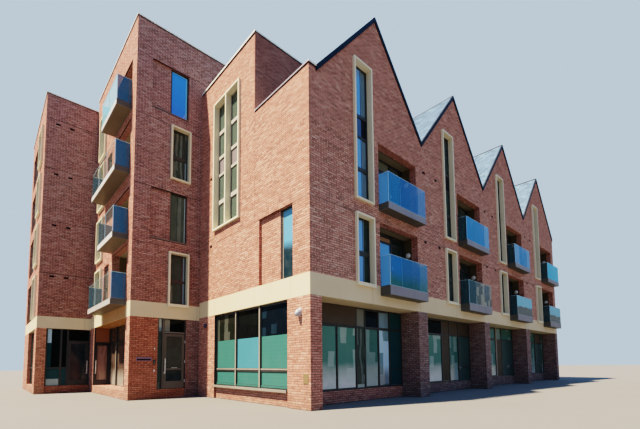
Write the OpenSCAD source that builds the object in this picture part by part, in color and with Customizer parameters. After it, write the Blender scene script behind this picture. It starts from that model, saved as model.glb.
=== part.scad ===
// Brick apartment block over shops: a street range of four gables with a
// raised corner, and a taller flat-roofed wing that steps back beside it.
// Millimetres, +Z up. The street front faces -Y, the square front faces -X.
// Wall lifts are parted by 10 mm soft joints at the lintel lines.

/* [Street range] */
// Width of one gabled bay
bay_w = 6120; // [6060:10:6180]
// Depth of the street range behind bays 2 to 4
range_d = 10200; // [9800:100:11000]
// Height of the valleys and of the corner parapet
valley_z = 10860; // [10700:10:11000]
// Height of the gable tops
apex_z = 14560; // [14400:10:14800]
// Depth of the raised corner's front behind the street front
tower_y = 3070; // [2900:10:3200]
// Top of the raised corner
tower_z = 14085; // [13950:5:14200]
// Thickness of the outer walls
wall_t = 300; // [280:5:320]
// Underside of the storey band
band_z0 = 3450; // [3400:10:3500]
// Top of the storey band
band_z1 = 4140; // [4100:10:4180]

/* [Street openings] */
// Left edge of the framed windows in a bay
win_x0 = 2065; // [2030:5:2100]
// Right edge of the framed windows in a bay
win_x1 = 3050; // [3000:10:3100]
// Left edge of the balcony recess in a bay
log_x0 = 3420; // [3400:10:3480]
// Right edge of the balcony recess in a bay
log_x1 = 5930; // [5880:10:5960]
// Depth of the balcony recess
log_d = 720; // [650:10:780]
// How far the street balconies stand out
balc_d = 440; // [380:10:500]
// Depth of the shopfronts behind the piers
shop_y = 850; // [800:10:900]

/* [Wing] */
// Left face of the middle block
mid_x = -2875; // [-2950:5:-2800]
// Front face of the middle block
mid_y = 7620; // [7560:10:7700]
// Top of the middle block
mid_z = 16255; // [16200:5:16400]
// Left face of the rear block
rear_x = -5215; // [-5300:5:-5100]
// Front face of the rear block
rear_y = 14705; // [14650:5:14800]
// Back face of the rear block
back_y = 21460; // [21300:10:21700]
// Top of the rear block
rear_z = 15660; // [15600:10:15700]
// How far the wing balconies stand out
side_d = 590; // [550:10:640]

/* [Doors] */
// Width of the main entrance door leaf
door_w = 880; // [840:10:900]
// Height of the main entrance door leaf
door_h = 2290; // [2200:10:2300]
// Thickness of a door leaf
leaf_t = 55; // [50:1:60]

/* [Hidden] */
bays = 4;
x_s = wall_t;                       // left foot of the first gable
x_e = x_s + bays * bay_w + 50;      // right face of the street range
slope = (apex_z - valley_z) / (bay_w / 2);
xr = [for (i = [0:bays-1]) x_s + bay_w * (i + 0.5)];
wing_x = x_s + bay_w;               // right face of the wing
jt = 10;                            // soft joint
z_j1 = 6550;                        // joint over the first storey
mlx = 1180;                         // depth of the wing's recesses
trim_h = 200;
wall_h = trim_h + 3;                // wall tops stop just under the roof
x_min = rear_x - 100;  x_max = x_e + 20;
y_min = -balc_d;       y_max = back_y + 30;
cx = (x_min + x_max) / 2;  cy = (y_min + y_max) / 2;
// storeys of the wing: floor level and window head
mid_f = [3980, 6750, 9590, 12460];
mid_h = [6450, 8900, 11950, 14610];
rear_f = [3885, 6700, 9500, 12300];
rear_h = [6100, 8850, 11620, 14300];
// storeys of the street range
st_f = [4140, 7160, 10220];
// window frames: [x0, x1, z0, z1] in a street bay
tall_z0 = 7050; tall_z1 = 12230; low_z1 = 6570;
pair_y0 = 4105; pair_y1 = 6240; pair_z0 = 7060; pair_z1 = 12760;
pair_p = 5135;                      // post between the pair
rec_h = 9600;                       // head of the upper street recess

module bx(x0, x1, y0, y1, z0, z1)
  translate([x0 - cx, y0 - cy, z0]) cube([x1 - x0, y1 - y0, z1 - z0]);
// prism of an XZ outline from y0 to y1
module px(p, y0, y1)
  translate([-cx, y1 - cy, 0]) rotate([90, 0, 0]) linear_extrude(y1 - y0) polygon(p);
function rz(x, i) = apex_z - slope * abs(x - xr[i]);

// side window of the rear block's shop, and its two lights
rs_y0 = 15600; rs_y1 = 18800;
rs = [[15660, 17170], [17230, 18740]];
// ---------- brickwork ----------
pier_x = [5850, 12110, 18225, 24325];
pier_e = [6545, 12730, 18910];
module ground_piers() color("#8a4b3c") {
  bx(0, 475, 0, 1120, 0, band_z0);
  for (i = [0:2]) bx(pier_x[i], pier_e[i], 0, shop_y, 0, band_z0);
  bx(pier_x[3], x_e, 0, 945, 0, band_z0);
  bx(0, 350, 6120, mid_y - jt, 0, band_z0);
  // middle block: corner pier, door pier and the pier at the far end of the porch
  bx(mid_x, -1790, mid_y, mid_y + wall_t, 0, 3345);
  bx(-560, wing_x - jt, mid_y, mid_y + wall_t, 0, 3345);
  bx(mid_x, -2735, 13880, rear_y - jt, 0, 3345);
  // rear block: corner pier
  bx(rear_x, -4810, rear_y, rear_y + 560, 0, 3285);
  bx(mid_x, -2735, rear_y, rear_y + 560, 0, 3285);
}
module shop_plinths() color("#7d4436") {
  bx(475, pier_x[0], shop_y, shop_y + 150, 0, 420);
  bx(pier_e[0], pier_x[1], shop_y, shop_y + 150, 0, 420);
  bx(pier_e[1], pier_x[2], shop_y, shop_y + 150, 0, 500);
  bx(pier_e[2], pier_x[3], shop_y, shop_y + 150, 0, 500);
  bx(100, 475, 1125, 6115, 0, 450);
  bx(-1790, -560, mid_y + 60, mid_y + wall_t, 0, 360);
  bx(mid_x, -2075, 8190, 13875, 0, 360);
  bx(-4810, mid_x, rear_y + 60, rear_y + 560, 0, 360);
  bx(rear_x, rear_x + wall_t, rs_y0, rs_y1, 0, 360);
}
module storey_band() color("#b3a184") {
  bx(0, x_e, 0, 945, band_z0, band_z1);
  bx(0, 350, 950, mid_y - jt, band_z0, band_z1);
  // middle block: front, side and the porch edge
  bx(mid_x, wing_x - jt, mid_y, mid_y + wall_t, 3345, 3980);
  bx(mid_x, -2075, mid_y + wall_t + 5, rear_y - jt, 3345, 3980);
  // rear block
  bx(rear_x, mid_x + wall_t, rear_y, rear_y + wall_t, 3285, 3885);
  bx(rear_x, rear_x + wall_t, rear_y + wall_t + 5, back_y - wall_t - 5, 3285, 3885);
}
tq = x_s + (tower_z - 80 - valley_z) / slope;
module corner_wall() color("#8f4f3f") {
  bx(0, wall_t, 0, 830, band_z1, z_j1);
  bx(0, wall_t, 0, tower_y - jt, z_j1 + jt, valley_z - 80);
  // return of the raised corner over the first roof slope
  px([[x_s, valley_z], [tq, tower_z - 80], [x_s, tower_z - 80]], tower_y, tower_y + wall_t);
}
module street_wall() color("#8f4f3f") {
  for (i = [0:bays-1]) {
    o = i * bay_w;
    a0 = i == 0 ? x_s : x_s + o + 5;
    // pier left of the framed windows, with the sloping gable edge
    px([[a0, z_j1 + jt], [win_x0 + o, z_j1 + jt], [win_x0 + o, rz(win_x0 + o, i) - wall_h],
        [a0, rz(a0, i) - wall_h]], 0, wall_t);
    // strip between window and recess, up to the gable top
    px([[win_x1 + o, z_j1 + jt], [log_x0 + o, z_j1 + jt], [log_x0 + o, rz(log_x0 + o, i) - wall_h],
        [xr[i], apex_z - wall_h], [win_x1 + o, rz(win_x1 + o, i) - wall_h]], 0, wall_t);
    // pier right of the recess
    e1 = i == bays - 1 ? x_e - wall_t : x_s + o + bay_w - 5;
    px([[log_x1 + o, z_j1 + jt], [e1, z_j1 + jt], [e1, rz(e1, i) - wall_h],
        [log_x1 + o, rz(log_x1 + o, i) - wall_h]], 0, wall_t);
    // first storey piers
    bx(i == 0 ? x_s : log_x1 + o - bay_w, win_x0 + o, 0, wall_t, band_z1, z_j1);
    bx(win_x1 + o, log_x0 + o, 0, wall_t, band_z1, z_j1);
  }
  bx(log_x1 + (bays - 1) * bay_w, x_e - wall_t, 0, wall_t, band_z1, z_j1);
}
module front_spandrels() color("#8a4b3c") {
  for (i = [0:bays-1]) {
    o = i * bay_w;
    bx(win_x0 + o, win_x1 + o, 0, wall_t, low_z1, tall_z0);
    bx(log_x0 + o, log_x1 + o, 0, wall_t, z_j1 + jt, st_f[1]);
    px([[win_x0 + o, tall_z1], [win_x1 + o, tall_z1], [win_x1 + o, rz(win_x1 + o, i) - wall_h],
        [win_x0 + o, rz(win_x0 + o, i) - wall_h]], 0, wall_t);
    px([[log_x0 + o, rec_h], [log_x1 + o, rec_h], [log_x1 + o, rz(log_x1 + o, i) - wall_h],
        [log_x0 + o, rz(log_x0 + o, i) - wall_h]], 0, wall_t);
  }
  // square front
  bx(100, wall_t, 1600, 2760, band_z1, z_j1);
  bx(0, wall_t, pair_y0, pair_y1, z_j1 + jt, pair_z0);
  bx(0, wall_t, pair_y0, pair_y1, pair_z1, tower_z - 80);
}
module tower_wall() color("#c98f72") {
  bx(0, wall_t, 2760, mid_y - jt, band_z1, z_j1);
  bx(0, wall_t, tower_y, pair_y0, z_j1 + jt, tower_z - 80);
  bx(0, wall_t, pair_y1, mid_y - jt, z_j1 + jt, tower_z - 80);
}
// middle block front: framed windows m0..m1, plain windows [panel left, panel right, window right]
m0 = -1420; m1 = -530;
mp = [[0, 0, 0], [-2200, -1350, -630], [0, 0, 0], [-2235, -1430, -635]];
module wing_front_wall() color("#7f4337") {
  lz = [3980, mid_h[0], mid_h[1], mid_h[2], mid_h[3]];
  for (k = [0:3]) {
    bx(mid_x, k == 0 || k == 2 ? m0 : mp[k][0], mid_y, mid_y + wall_t, lz[k] + (k == 0 ? 0 : jt), lz[k+1]);
    bx(k == 0 || k == 2 ? m1 : mp[k][2], wing_x, mid_y, mid_y + wall_t, lz[k] + (k == 0 ? 0 : jt), lz[k+1]);
  }
  bx(mid_x, wing_x, mid_y, mid_y + wall_t, mid_h[3] + jt, mid_z - 80);
  // rear block front
  rl = [3885, rear_h[0], rear_h[1], rear_h[2]];
  for (k = [0:2]) bx(rear_x, mid_x + wall_t, rear_y, rear_y + wall_t, rl[k] + (k == 0 ? 0 : jt), rl[k+1]);
  bx(rear_x, mid_x + wall_t, rear_y, rear_y + wall_t, rl[3] + jt, rear_z - 80);
}
// side walls: middle block side with recesses and windows, rear block side
ry0 = 8250; ry1 = 10650; wy0 = 12570; wy1 = 13830;
// side windows: sill and head by storey; balcony door on storeys 0 and 2
sw0 = [3980, 6700, 9450, 12250];
sw1 = [6240, 8900, 11850, 14610];
oy0 = 11300; oy1 = 12200;
module wing_side_wall() color("#c08468") {
  for (k = [0:3]) {
    z0 = k == 0 ? 3980 : mid_h[k-1] + jt; z1 = mid_h[k];
    bx(mid_x, mid_x + wall_t, mid_y + wall_t + 5, ry0, z0, z1);
    if (k == 0 || k == 2) {
      bx(mid_x, mid_x + wall_t, ry1, oy0, z0, z1);
      bx(mid_x, mid_x + wall_t, oy1, wy0, z0, z1);
    } else bx(mid_x, mid_x + wall_t, ry1, wy0, z0, z1);
    bx(mid_x, mid_x + wall_t, wy1, rear_y, z0, z1);
  }
  bx(mid_x, mid_x + wall_t, mid_y + wall_t + 5, rear_y - 15, mid_h[3] + jt, mid_z - 80);
  // ground storey: return of the corner pier, and the rear block
  bx(mid_x, -2075, mid_y + wall_t + 5, 8190, 0, 3345);
  bx(rear_x, rear_x + wall_t, rear_y + 565, rs_y0, 0, 3285);
  bx(rear_x, rear_x + wall_t, rs_y1, back_y - wall_t - 5, 0, 3285);
  for (k = [0:3]) {
    z0 = k == 0 ? 3885 : rear_h[k-1] + jt; z1 = rear_h[k];
    bx(rear_x, rear_x + wall_t, rear_y + wall_t + 5, 15600, z0, z1);
    bx(rear_x, rear_x + wall_t, 17000, 17800, z0, z1);
    bx(rear_x, rear_x + wall_t, 20600, back_y - wall_t - 5, z0, z1);
  }
  bx(rear_x, rear_x + wall_t, rear_y + wall_t + 5, back_y - wall_t - 5, rear_h[3] + jt, rear_z - 80);
}
module wing_spandrels() color("#7f4337") {
  // middle front
  bx(m0, m1, mid_y, mid_y + wall_t, 6260, mid_h[0]);
  bx(mp[1][0], mp[1][1], mid_y + 100, mid_y + wall_t, 6750, mid_h[1]);
  bx(mp[1][0], mp[1][2], mid_y, mid_y + wall_t, mid_h[0] + jt, 6745);
  bx(m0, m1, mid_y, mid_y + wall_t, mid_h[1] + jt, 9500);
  bx(mp[3][0], mp[3][1], mid_y + 100, mid_y + wall_t, 12495, mid_h[3]);
  bx(mp[3][0], mp[3][2], mid_y, mid_y + wall_t, mid_h[2] + jt, 12490);
  // middle side: over the recesses and under the windows
  for (k = [1:3]) {
    bx(mid_x, mid_x + wall_t, ry0, ry1, mid_h[k-1] + jt, mid_f[k]);
    bx(mid_x, mid_x + wall_t, wy0, wy1, mid_h[k-1] + jt, sw0[k]);
  }
  for (k = [0, 2]) {
    bx(mid_x, mid_x + wall_t, wy0, wy1, sw1[k], mid_h[k]);
    bx(mid_x, mid_x + wall_t, oy0, oy1, sw1[k], mid_h[k]);
  }
  bx(mid_x, mid_x + wall_t, oy0, oy1, mid_h[1] + jt, mid_f[2]);
  // rear block side
  for (k = [1:3]) {
    bx(rear_x, rear_x + wall_t, 15600, 17000, rear_h[k-1] + jt, rear_f[k]);
    bx(rear_x, rear_x + wall_t, 17800, 20600, rear_h[k-1] + jt, rear_f[k]);
  }
}
// hidden sides: plain repeats of the storeys
bw = [1000, 2200, 3900, 5100];
ny = [-4000, -2800, -800, 400, 2400, 3600];
ex = [11400, 12600, 14600, 15800, 17800, 19000];
module back_walls() color("#8f4f3f") {
  // street range, gabled back of bays 2 to 4
  for (i = [1:3]) {
    o = x_s + i * bay_w;
    a0 = i == 1 ? wing_x : o + 5;  e1 = i == 3 ? x_e - wall_t : o + bay_w - 5;
    for (z = [[0, band_z0 - jt], [band_z0, z_j1]]) {
      bx(a0, o + bw[0], range_d - wall_t, range_d, z[0], z[1]);
      bx(o + bw[1], o + bw[2], range_d - wall_t, range_d, z[0], z[1]);
      bx(o + bw[3], e1, range_d - wall_t, range_d, z[0], z[1]);
    }
    px([[a0, z_j1 + jt], [o + bw[0], z_j1 + jt], [o + bw[0], rz(o + bw[0], i) - wall_h], [a0, rz(a0, i) - wall_h]],
       range_d - wall_t, range_d);
    px([[o + bw[1], z_j1 + jt], [o + bw[2], z_j1 + jt], [o + bw[2], rz(o + bw[2], i) - wall_h], [xr[i], apex_z - wall_h],
        [o + bw[1], rz(o + bw[1], i) - wall_h]], range_d - wall_t, range_d);
    px([[o + bw[3], z_j1 + jt], [e1, z_j1 + jt], [e1, rz(e1, i) - wall_h], [o + bw[3], rz(o + bw[3], i) - wall_h]],
       range_d - wall_t, range_d);
  }
  // rear block, back wall
  for (k = [0:4]) {
    z0 = k == 0 ? 0 : (k == 1 ? 3300 : rear_h[k-2] + jt); z1 = k == 0 ? 3290 : rear_h[k-1];
    bx(rear_x, ny[0], back_y - wall_t, back_y, z0, z1);
    bx(ny[1], ny[2], back_y - wall_t, back_y, z0, z1);
    bx(ny[3], ny[4], back_y - wall_t, back_y, z0, z1);
    bx(ny[5], wing_x, back_y - wall_t, back_y, z0, z1);
  }
  bx(rear_x, wing_x, back_y - wall_t, back_y, rear_h[3] + jt, rear_z - 80);
}
module back_spandrels() color("#8a4b3c") {
  for (i = [1:3]) {
    o = x_s + i * bay_w;
    for (w = [[bw[0], bw[1]], [bw[2], bw[3]]]) {
      bx(o + w[0], o + w[1], range_d - wall_t, range_d, 0, 1300);
      bx(o + w[0], o + w[1], range_d - wall_t, range_d, band_z0, 4700);
      bx(o + w[0], o + w[1], range_d - wall_t, range_d, z_j1 + jt, 7700);
      px([[o + w[0], 9570], [o + w[1], 9570], [o + w[1], rz(o + w[1], i) - wall_h], [o + w[0], rz(o + w[0], i) - wall_h]],
         range_d - wall_t, range_d);
    }
  }
  for (k = [0:4]) {
    z0 = k == 0 ? 0 : (k == 1 ? 3300 : rear_h[k-2] + jt);
    s = k == 0 ? 1300 : rear_f[k-1] + 500;
    for (j = [0:2]) bx(ny[2*j], ny[2*j+1], back_y - wall_t, back_y, z0, s);
    // wing, east side
    for (j = [0:2]) bx(wing_x - wall_t, wing_x, ex[2*j], ex[2*j+1], z0, s);
  }
  // street range, east end
  for (w = [[2800, 4000], [6200, 7400]]) {
    bx(x_e - wall_t, x_e, w[0], w[1], band_z0, 4700);
    bx(x_e - wall_t, x_e, w[0], w[1], z_j1 + jt, 7700);
    px([[x_e - wall_t, 9570], [x_e, 9570], [x_e, rz(x_e, 3) - wall_h], [x_e - wall_t, rz(x_e - wall_t, 3) - wall_h]], w[0], w[1]);
  }
}
module end_walls() color("#8f4f3f") {
  // street range, east end
  bx(x_e - wall_t, x_e, 950, range_d, 0, band_z0 - jt);
  for (w = [[950, 2800], [4000, 6200], [7400, range_d]]) bx(x_e - wall_t, x_e, w[0], w[1], band_z0, z_j1);
  bx(x_e - wall_t, x_e, 0, 940, band_z1, z_j1);
  for (w = [[0, 2800], [4000, 6200], [7400, range_d]])
    px([[x_e - wall_t, z_j1 + jt], [x_e, z_j1 + jt], [x_e, rz(x_e, 3) - wall_h], [x_e - wall_t, rz(x_e - wall_t, 3) - wall_h]], w[0], w[1]);
  // wing, east side, storeys below the rear block's roof
  for (k = [0:4]) {
    z0 = k == 0 ? 0 : (k == 1 ? 3300 : rear_h[k-2] + jt); z1 = k == 0 ? 3290 : rear_h[k-1];
    bx(wing_x - wall_t, wing_x, mid_y + wall_t + 5, ex[0], z0, z1);
    bx(wing_x - wall_t, wing_x, ex[1], ex[2], z0, z1);
    bx(wing_x - wall_t, wing_x, ex[3], ex[4], z0, z1);
    bx(wing_x - wall_t, wing_x, ex[5], back_y - wall_t - 5, z0, z1);
  }
  bx(wing_x - wall_t, wing_x, mid_y + wall_t + 5, rear_y - wall_t, rear_h[3] + jt, mid_z - 80);
  bx(wing_x - wall_t, wing_x, rear_y - wall_t + 5, back_y - wall_t - 5, rear_h[3] + jt, rear_z - 80);
  // middle block, upstand over the rear block's roof
  bx(mid_x + wall_t + 5, wing_x - wall_t - 5, rear_y - wall_t + 5, rear_y - 15, 14700, mid_z - 80);
  bx(wing_x - wall_t, wing_x, rear_y - wall_t + 5, rear_y - 15, rear_z - 70, mid_z - 80);
}

// ---------- floors and roofs ----------
module floor_slabs() color("#a8a49c") {
  // ground, first, second and third floors of bays 2 to 4, then of bay 1
  for (z = [[0, 380], [3840, st_f[0]], [st_f[1] - 300, st_f[1]], [st_f[2] - 300, st_f[2]]]) {
    y0 = z[0] == 0 ? shop_y + 155 : (z[1] == st_f[0] ? 950 : wall_t);
    bx(wing_x + 5, x_e - wall_t, y0, range_d - wall_t, z[0], z[1]);
    bx(z[0] == 0 ? 480 : (z[1] == st_f[0] ? 355 : wall_t), wing_x, y0, mid_y, z[0], z[1]);
  }
  // strip behind the middle block's side wall, under the recesses
  for (k = [1:3]) bx(mid_x + wall_t, mid_x + mlx - 5, mid_y + wall_t + 5, rear_y + wall_t - 5, mid_f[k] - 250, mid_f[k]);
}
module wing_floors() color("#a8a49c") {
  bx(-2070, wing_x - wall_t, mid_y + wall_t, rear_y + 555, 0, 360);
  bx(-2730, -2075, 13880, rear_y + 555, 0, 360);
  bx(rear_x + wall_t, wing_x - wall_t, rear_y + 565, back_y - wall_t, 0, 360);
  for (k = [0:3]) {
    bx(k == 0 ? -2070 : mid_x + mlx, wing_x - wall_t, mid_y + wall_t, rear_y + wall_t - 5, mid_f[k] - 250, mid_f[k]);
    bx(rear_x + wall_t, wing_x - wall_t, rear_y + wall_t, back_y - wall_t, rear_f[k] - 250, rear_f[k]);
  }
}
module flat_roofs() color("#6f7174") {
  bx(mid_x + wall_t, wing_x - wall_t, mid_y + wall_t, rear_y - wall_t, 15350, 15600);
  bx(rear_x + wall_t, wing_x - wall_t, rear_y + wall_t + 5, back_y - wall_t, 14700, 14950);
  bx(mid_x + wall_t, wing_x - wall_t, rear_y - 10, rear_y + wall_t, 14700, 14950);
  bx(wall_t, 2950, tower_y + wall_t, mid_y, 13600, 13850);
}
module slope_bar(x0, x1, i, y0, y1, t)
  px([[x0, rz(x0, i) - t], [x1, rz(x1, i) - t], [x1, rz(x1, i)], [x0, rz(x0, i)]], y0, y1);
module west_slopes() color("#8b97a3") {
  slope_bar(x_s, xr[0], 0, 20, tower_y + wall_t - 5, trim_h);
  slope_bar(2955, xr[0], 0, tower_y + wall_t, mid_y, trim_h);
  for (i = [1:bays-1]) slope_bar(x_s + i * bay_w, xr[i], i, 20, range_d - 20, trim_h);
}
module east_slopes() color("#8b97a3") {
  slope_bar(xr[0], wing_x, 0, 20, mid_y, trim_h);
  for (i = [1:bays-2]) slope_bar(xr[i], x_s + (i + 1) * bay_w, i, 20, range_d - 20, trim_h);
  slope_bar(xr[bays-1], x_e + 20, bays - 1, 20, range_d - 20, trim_h);
}
// parapet runs: [x0, x1, y0, y1, top, then each end: 1 overhangs, 0 stops flush, -1 butts its neighbour]
caps = [
  [0, x_s, -10, tower_y - jt, valley_z, 1, 0, 1, 0],
  [0, wall_t, tower_y, mid_y - jt, tower_z, 1, 1, 1, 0],
  [wall_t, tq, tower_y, tower_y + wall_t, tower_z, -1, 0, 1, 1],
  [mid_x, wing_x, mid_y, mid_y + wall_t, mid_z, 1, 1, 1, 1],
  [mid_x, mid_x + wall_t, mid_y + wall_t, rear_y - wall_t, mid_z, 1, 1, -1, -1],
  [wing_x - wall_t, wing_x, mid_y + wall_t, rear_y - wall_t, mid_z, 1, 1, -1, -1],
  [mid_x, wing_x, rear_y - wall_t, rear_y, mid_z, 1, 1, 1, 1],
  [rear_x, mid_x, rear_y, rear_y + wall_t, rear_z, 1, 0, 1, 1],
  [rear_x, rear_x + wall_t, rear_y + wall_t, back_y - wall_t, rear_z, 1, 1, -1, -1],
  [wing_x - wall_t, wing_x, rear_y, back_y - wall_t, rear_z, 1, 1, -1, -1],
  [rear_x, wing_x, back_y - wall_t, back_y, rear_z, 1, 1, 1, 1]];
function hang(e, ov) = e == 1 ? ov : (e == 0 ? 0 : -ov - 5);
module cap_runs(ov, dz, t) for (c = caps)
  bx(c[0] - hang(c[5], ov), c[1] + hang(c[6], ov), c[2] - hang(c[7], ov), c[3] + hang(c[8], ov), c[4] - dz - t, c[4] - dz);
// dark verges of the gables and the dark strips under the pale caps
module roof_trims() color("#232a3a") {
  for (i = [0:bays-1]) {
    slope_bar(x_s + i * bay_w + 2, xr[i] - 2, i, -40, 15, trim_h);
    slope_bar(xr[i] + 2, i == bays - 1 ? x_e + 20 : x_s + (i + 1) * bay_w - 2, i, -40, 15, trim_h);
    if (i > 0) {
      slope_bar(x_s + i * bay_w + 2, xr[i] - 2, i, range_d - 15, range_d + 40, trim_h);
      slope_bar(xr[i] + 2, i == bays - 1 ? x_e + 20 : x_s + (i + 1) * bay_w - 2, i, range_d - 15, range_d + 40, trim_h);
    }
  }
  cap_runs(14, 40, 40);
}
module copings() color("#d9d6cf") cap_runs(30, 0, 40);

// ---------- windows ----------
sr = 70;      // face width of a surround
sp = 100;     // how far a surround stands out
module window_jambs() color("#cbbd9c") {
  for (i = [0:bays-1]) for (z = [[band_z1, low_z1], [tall_z0 + sr, tall_z1 - sr]]) {
    o = i * bay_w; z0 = z[0]; z1 = z[0] == band_z1 ? z[1] - sr : z[1];
    bx(win_x0 + o, win_x0 + sr + o, -sp, 240, z0, z1);
    bx(win_x1 - sr + o, win_x1 + o, -sp, 240, z0, z1);
  }
  for (y = [[pair_y0, sr], [pair_p, 75], [pair_y1 - sr, sr]]) bx(-sp, 240, y[0], y[0] + y[1], pair_z0 + sr, pair_z1 - sr);
  for (z = [[3980, 6260], [9500 + sr, 11950]]) {
    bx(m0, m0 + sr, mid_y - sp, mid_y + 240, z[0], z[1] - sr);
    bx(m1 - sr, m1, mid_y - sp, mid_y + 240, z[0], z[1] - sr);
  }
  // side windows of the middle and rear blocks
  for (k = [0:3]) {
    z0 = k == 0 ? sw0[0] : sw0[k] + sr; z1 = sw1[k] - sr;
    bx(mid_x - sp, mid_x + 240, wy0, wy0 + sr, z0, z1);
    bx(mid_x - sp, mid_x + 240, wy1 - sr, wy1, z0, z1);
    r0 = k == 0 ? rear_f[0] : rear_f[k] + sr; r1 = rear_h[k] - sr;
    bx(rear_x - sp, rear_x + 240, 15600, 15600 + sr, r0, r1);
    bx(rear_x - sp, rear_x + 240, 17000 - sr, 17000, r0, r1);
  }
}
module window_heads() color("#cbbd9c") {
  for (i = [0:bays-1]) {
    o = i * bay_w;
    bx(win_x0 + o, win_x1 + o, -sp, 240, low_z1 - sr, low_z1);
    bx(win_x0 + o, win_x1 + o, -sp, -0, 4020, band_z1);
    bx(win_x0 + o, win_x1 + o, -sp, 240, tall_z0, tall_z0 + sr);
    bx(win_x0 + o, win_x1 + o, -sp, 240, tall_z1 - sr, tall_z1);
  }
  bx(-sp, 240, pair_y0, pair_y1, pair_z0, pair_z0 + sr);
  bx(-sp, 240, pair_y0, pair_y1, pair_z1 - sr, pair_z1);
  bx(m0, m1, mid_y - sp, mid_y, 3860, 3980);
  bx(m0, m1, mid_y - sp, mid_y + 240, 6260 - sr, 6260);
  bx(m0, m1, mid_y - sp, mid_y + 240, 9500, 9500 + sr);
  bx(m0, m1, mid_y - sp, mid_y + 240, 11950 - sr, 11950);
  for (k = [0:3]) {
    bx(mid_x - sp, mid_x + 240, wy0, wy1, sw1[k] - sr, sw1[k]);
    bx(rear_x - sp, rear_x + 240, 15600, 17000, rear_h[k] - sr, rear_h[k]);
    if (k > 0) {
      bx(mid_x - sp, mid_x + 240, wy0, wy1, sw0[k], sw0[k] + sr);
      bx(rear_x - sp, rear_x + 240, 15600, 17000, rear_f[k], rear_f[k] + sr);
    }
  }
}
gy = 175; gt = 24;   // depth of the panes behind the face, and their thickness
module window_glass() color("#5f87a8") {
  for (i = [0:bays-1]) {
    o = i * bay_w;
    bx(win_x0 + sr + o, win_x1 - sr + o, gy, gy + gt, band_z1, low_z1 - sr);
    bx(win_x0 + sr + o, win_x1 - sr + o, gy, gy + gt, tall_z0 + sr, tall_z1 - sr);
  }
  bx(gy, gy + gt, pair_y0 + sr, pair_p, pair_z0 + sr, pair_z1 - sr);
  bx(gy, gy + gt, pair_p + 75, pair_y1 - sr, pair_z0 + sr, pair_z1 - sr);
  bx(gy, gy + gt, 830, 1600, band_z1, z_j1);
  bx(m0 + sr, m1 - sr, mid_y + gy, mid_y + gy + gt, 3980, 6260 - sr);
  bx(mp[1][1], mp[1][2], mid_y + 150, mid_y + 150 + gt, 6750, mid_h[1]);
  bx(m0 + sr, m1 - sr, mid_y + gy, mid_y + gy + gt, 9500 + sr, 11950 - sr);
  bx(mp[3][1], mp[3][2], mid_y + 150, mid_y + 150 + gt, 12495, mid_h[3]);
  for (k = [0:3]) {
    bx(mid_x + gy, mid_x + gy + gt, wy0 + sr, wy1 - sr, k == 0 ? sw0[0] : sw0[k] + sr, sw1[k] - sr);
    if (k == 0 || k == 2) bx(mid_x + gy, mid_x + gy + gt, oy0, oy1, mid_f[k], sw1[k]);
    bx(rear_x + gy, rear_x + gy + gt, 15600 + sr, 17000 - sr, k == 0 ? rear_f[0] : rear_f[k] + sr, rear_h[k] - sr);
    bx(rear_x + gy, rear_x + gy + gt, 17800, 20600, rear_f[k], rear_h[k]);
  }
  // hidden sides
  for (i = [1:3]) for (w = [[bw[0], bw[1]], [bw[2], bw[3]]]) for (z = [[1300, band_z0 - jt], [4700, z_j1], [7700, 9570]])
    bx(x_s + i * bay_w + w[0], x_s + i * bay_w + w[1], range_d - 120, range_d - 120 + gt, z[0], z[1]);
  for (k = [0:4]) {
    s = k == 0 ? 1300 : rear_f[k-1] + 500; z1 = k == 0 ? 3290 : rear_h[k-1];
    for (j = [0:2]) {
      bx(ny[2*j], ny[2*j+1], back_y - 120, back_y - 120 + gt, s, z1);
      bx(wing_x - 120, wing_x - 120 + gt, ex[2*j], ex[2*j+1], s, z1);
    }
  }
  for (w = [[2800, 4000], [6200, 7400]]) for (z = [[4700, z_j1], [7700, 9570]])
    bx(x_e - 120, x_e - 120 + gt, w[0], w[1], z[0], z[1]);
}
// ---------- shopfronts ----------
// mullion centres by bay
sm = [[1985, 3000, 3500, 4310, 5020], [7950, 9165, 9900, 10830], [13900, 15680, 16400], [20100, 21300, 22530, 23830]];
// door openings by bay: the light left open by the segment index, 9 for none
dk = [9, 4, 3, 3];
mw = 60; md = 100;
qm = [2770, 4435];                  // mullions of the square shopfront
qs = [[1180, qm[0]], [qm[0] + 100, qm[1]], [qm[1] + 90, 6060]];
sx0 = [475, pier_e[0], pier_e[1], pier_e[2]];
sz0 = [420, 420, 500, 500];
module shop_mullions() color("#3a3d3f") {
  for (b = [0:3]) {
    for (x = sm[b]) bx(x - mw/2, x + mw/2, shop_y, shop_y + md, sz0[b], band_z0);
    bx(sx0[b], sx0[b] + mw, shop_y, shop_y + md, sz0[b], band_z0);
    bx(pier_x[b] - mw, pier_x[b], shop_y, shop_y + md, sz0[b], band_z0);
  }
  for (y = [[1120, mw], [qm[0], 100], [qm[1], 90], [6120 - mw, mw]]) bx(100, 200, y[0], y[0] + y[1], 550, band_z0);
  // entrance screen: jambs and the post beside the side light
  bx(-1790, -1720, mid_y + 120, mid_y + 220, 360, 3345);
  bx(-1565, -1495, mid_y + 120, mid_y + 220, 360, 3345);
  bx(-595, -560, mid_y + 120, mid_y + 220, 360, 3345);
  // porch screen posts
  for (y = [8190, 9800, 10900, 12400]) bx(-2175, -2075, y, y + 100, 360, 3345);
  // porch door jambs
  bx(mid_x, -2830, 13780, 13875, 360, 3345);
  bx(-2182, -2075, 13780, 13875, 360, 3345);
  // rear block shopfront
  for (x = [-4810, -4185, -3895, -2935]) bx(x, x + mw, rear_y + 150, rear_y + 250, 360, 3285);
  for (y = [rs_y0, 17170, rs_y1 - mw]) bx(rear_x + 150, rear_x + 250, y, y + mw, 360, 3285);
}
function seg(b) = concat([sx0[b] + mw/2], sm[b], [pier_x[b] - mw/2]);
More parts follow.
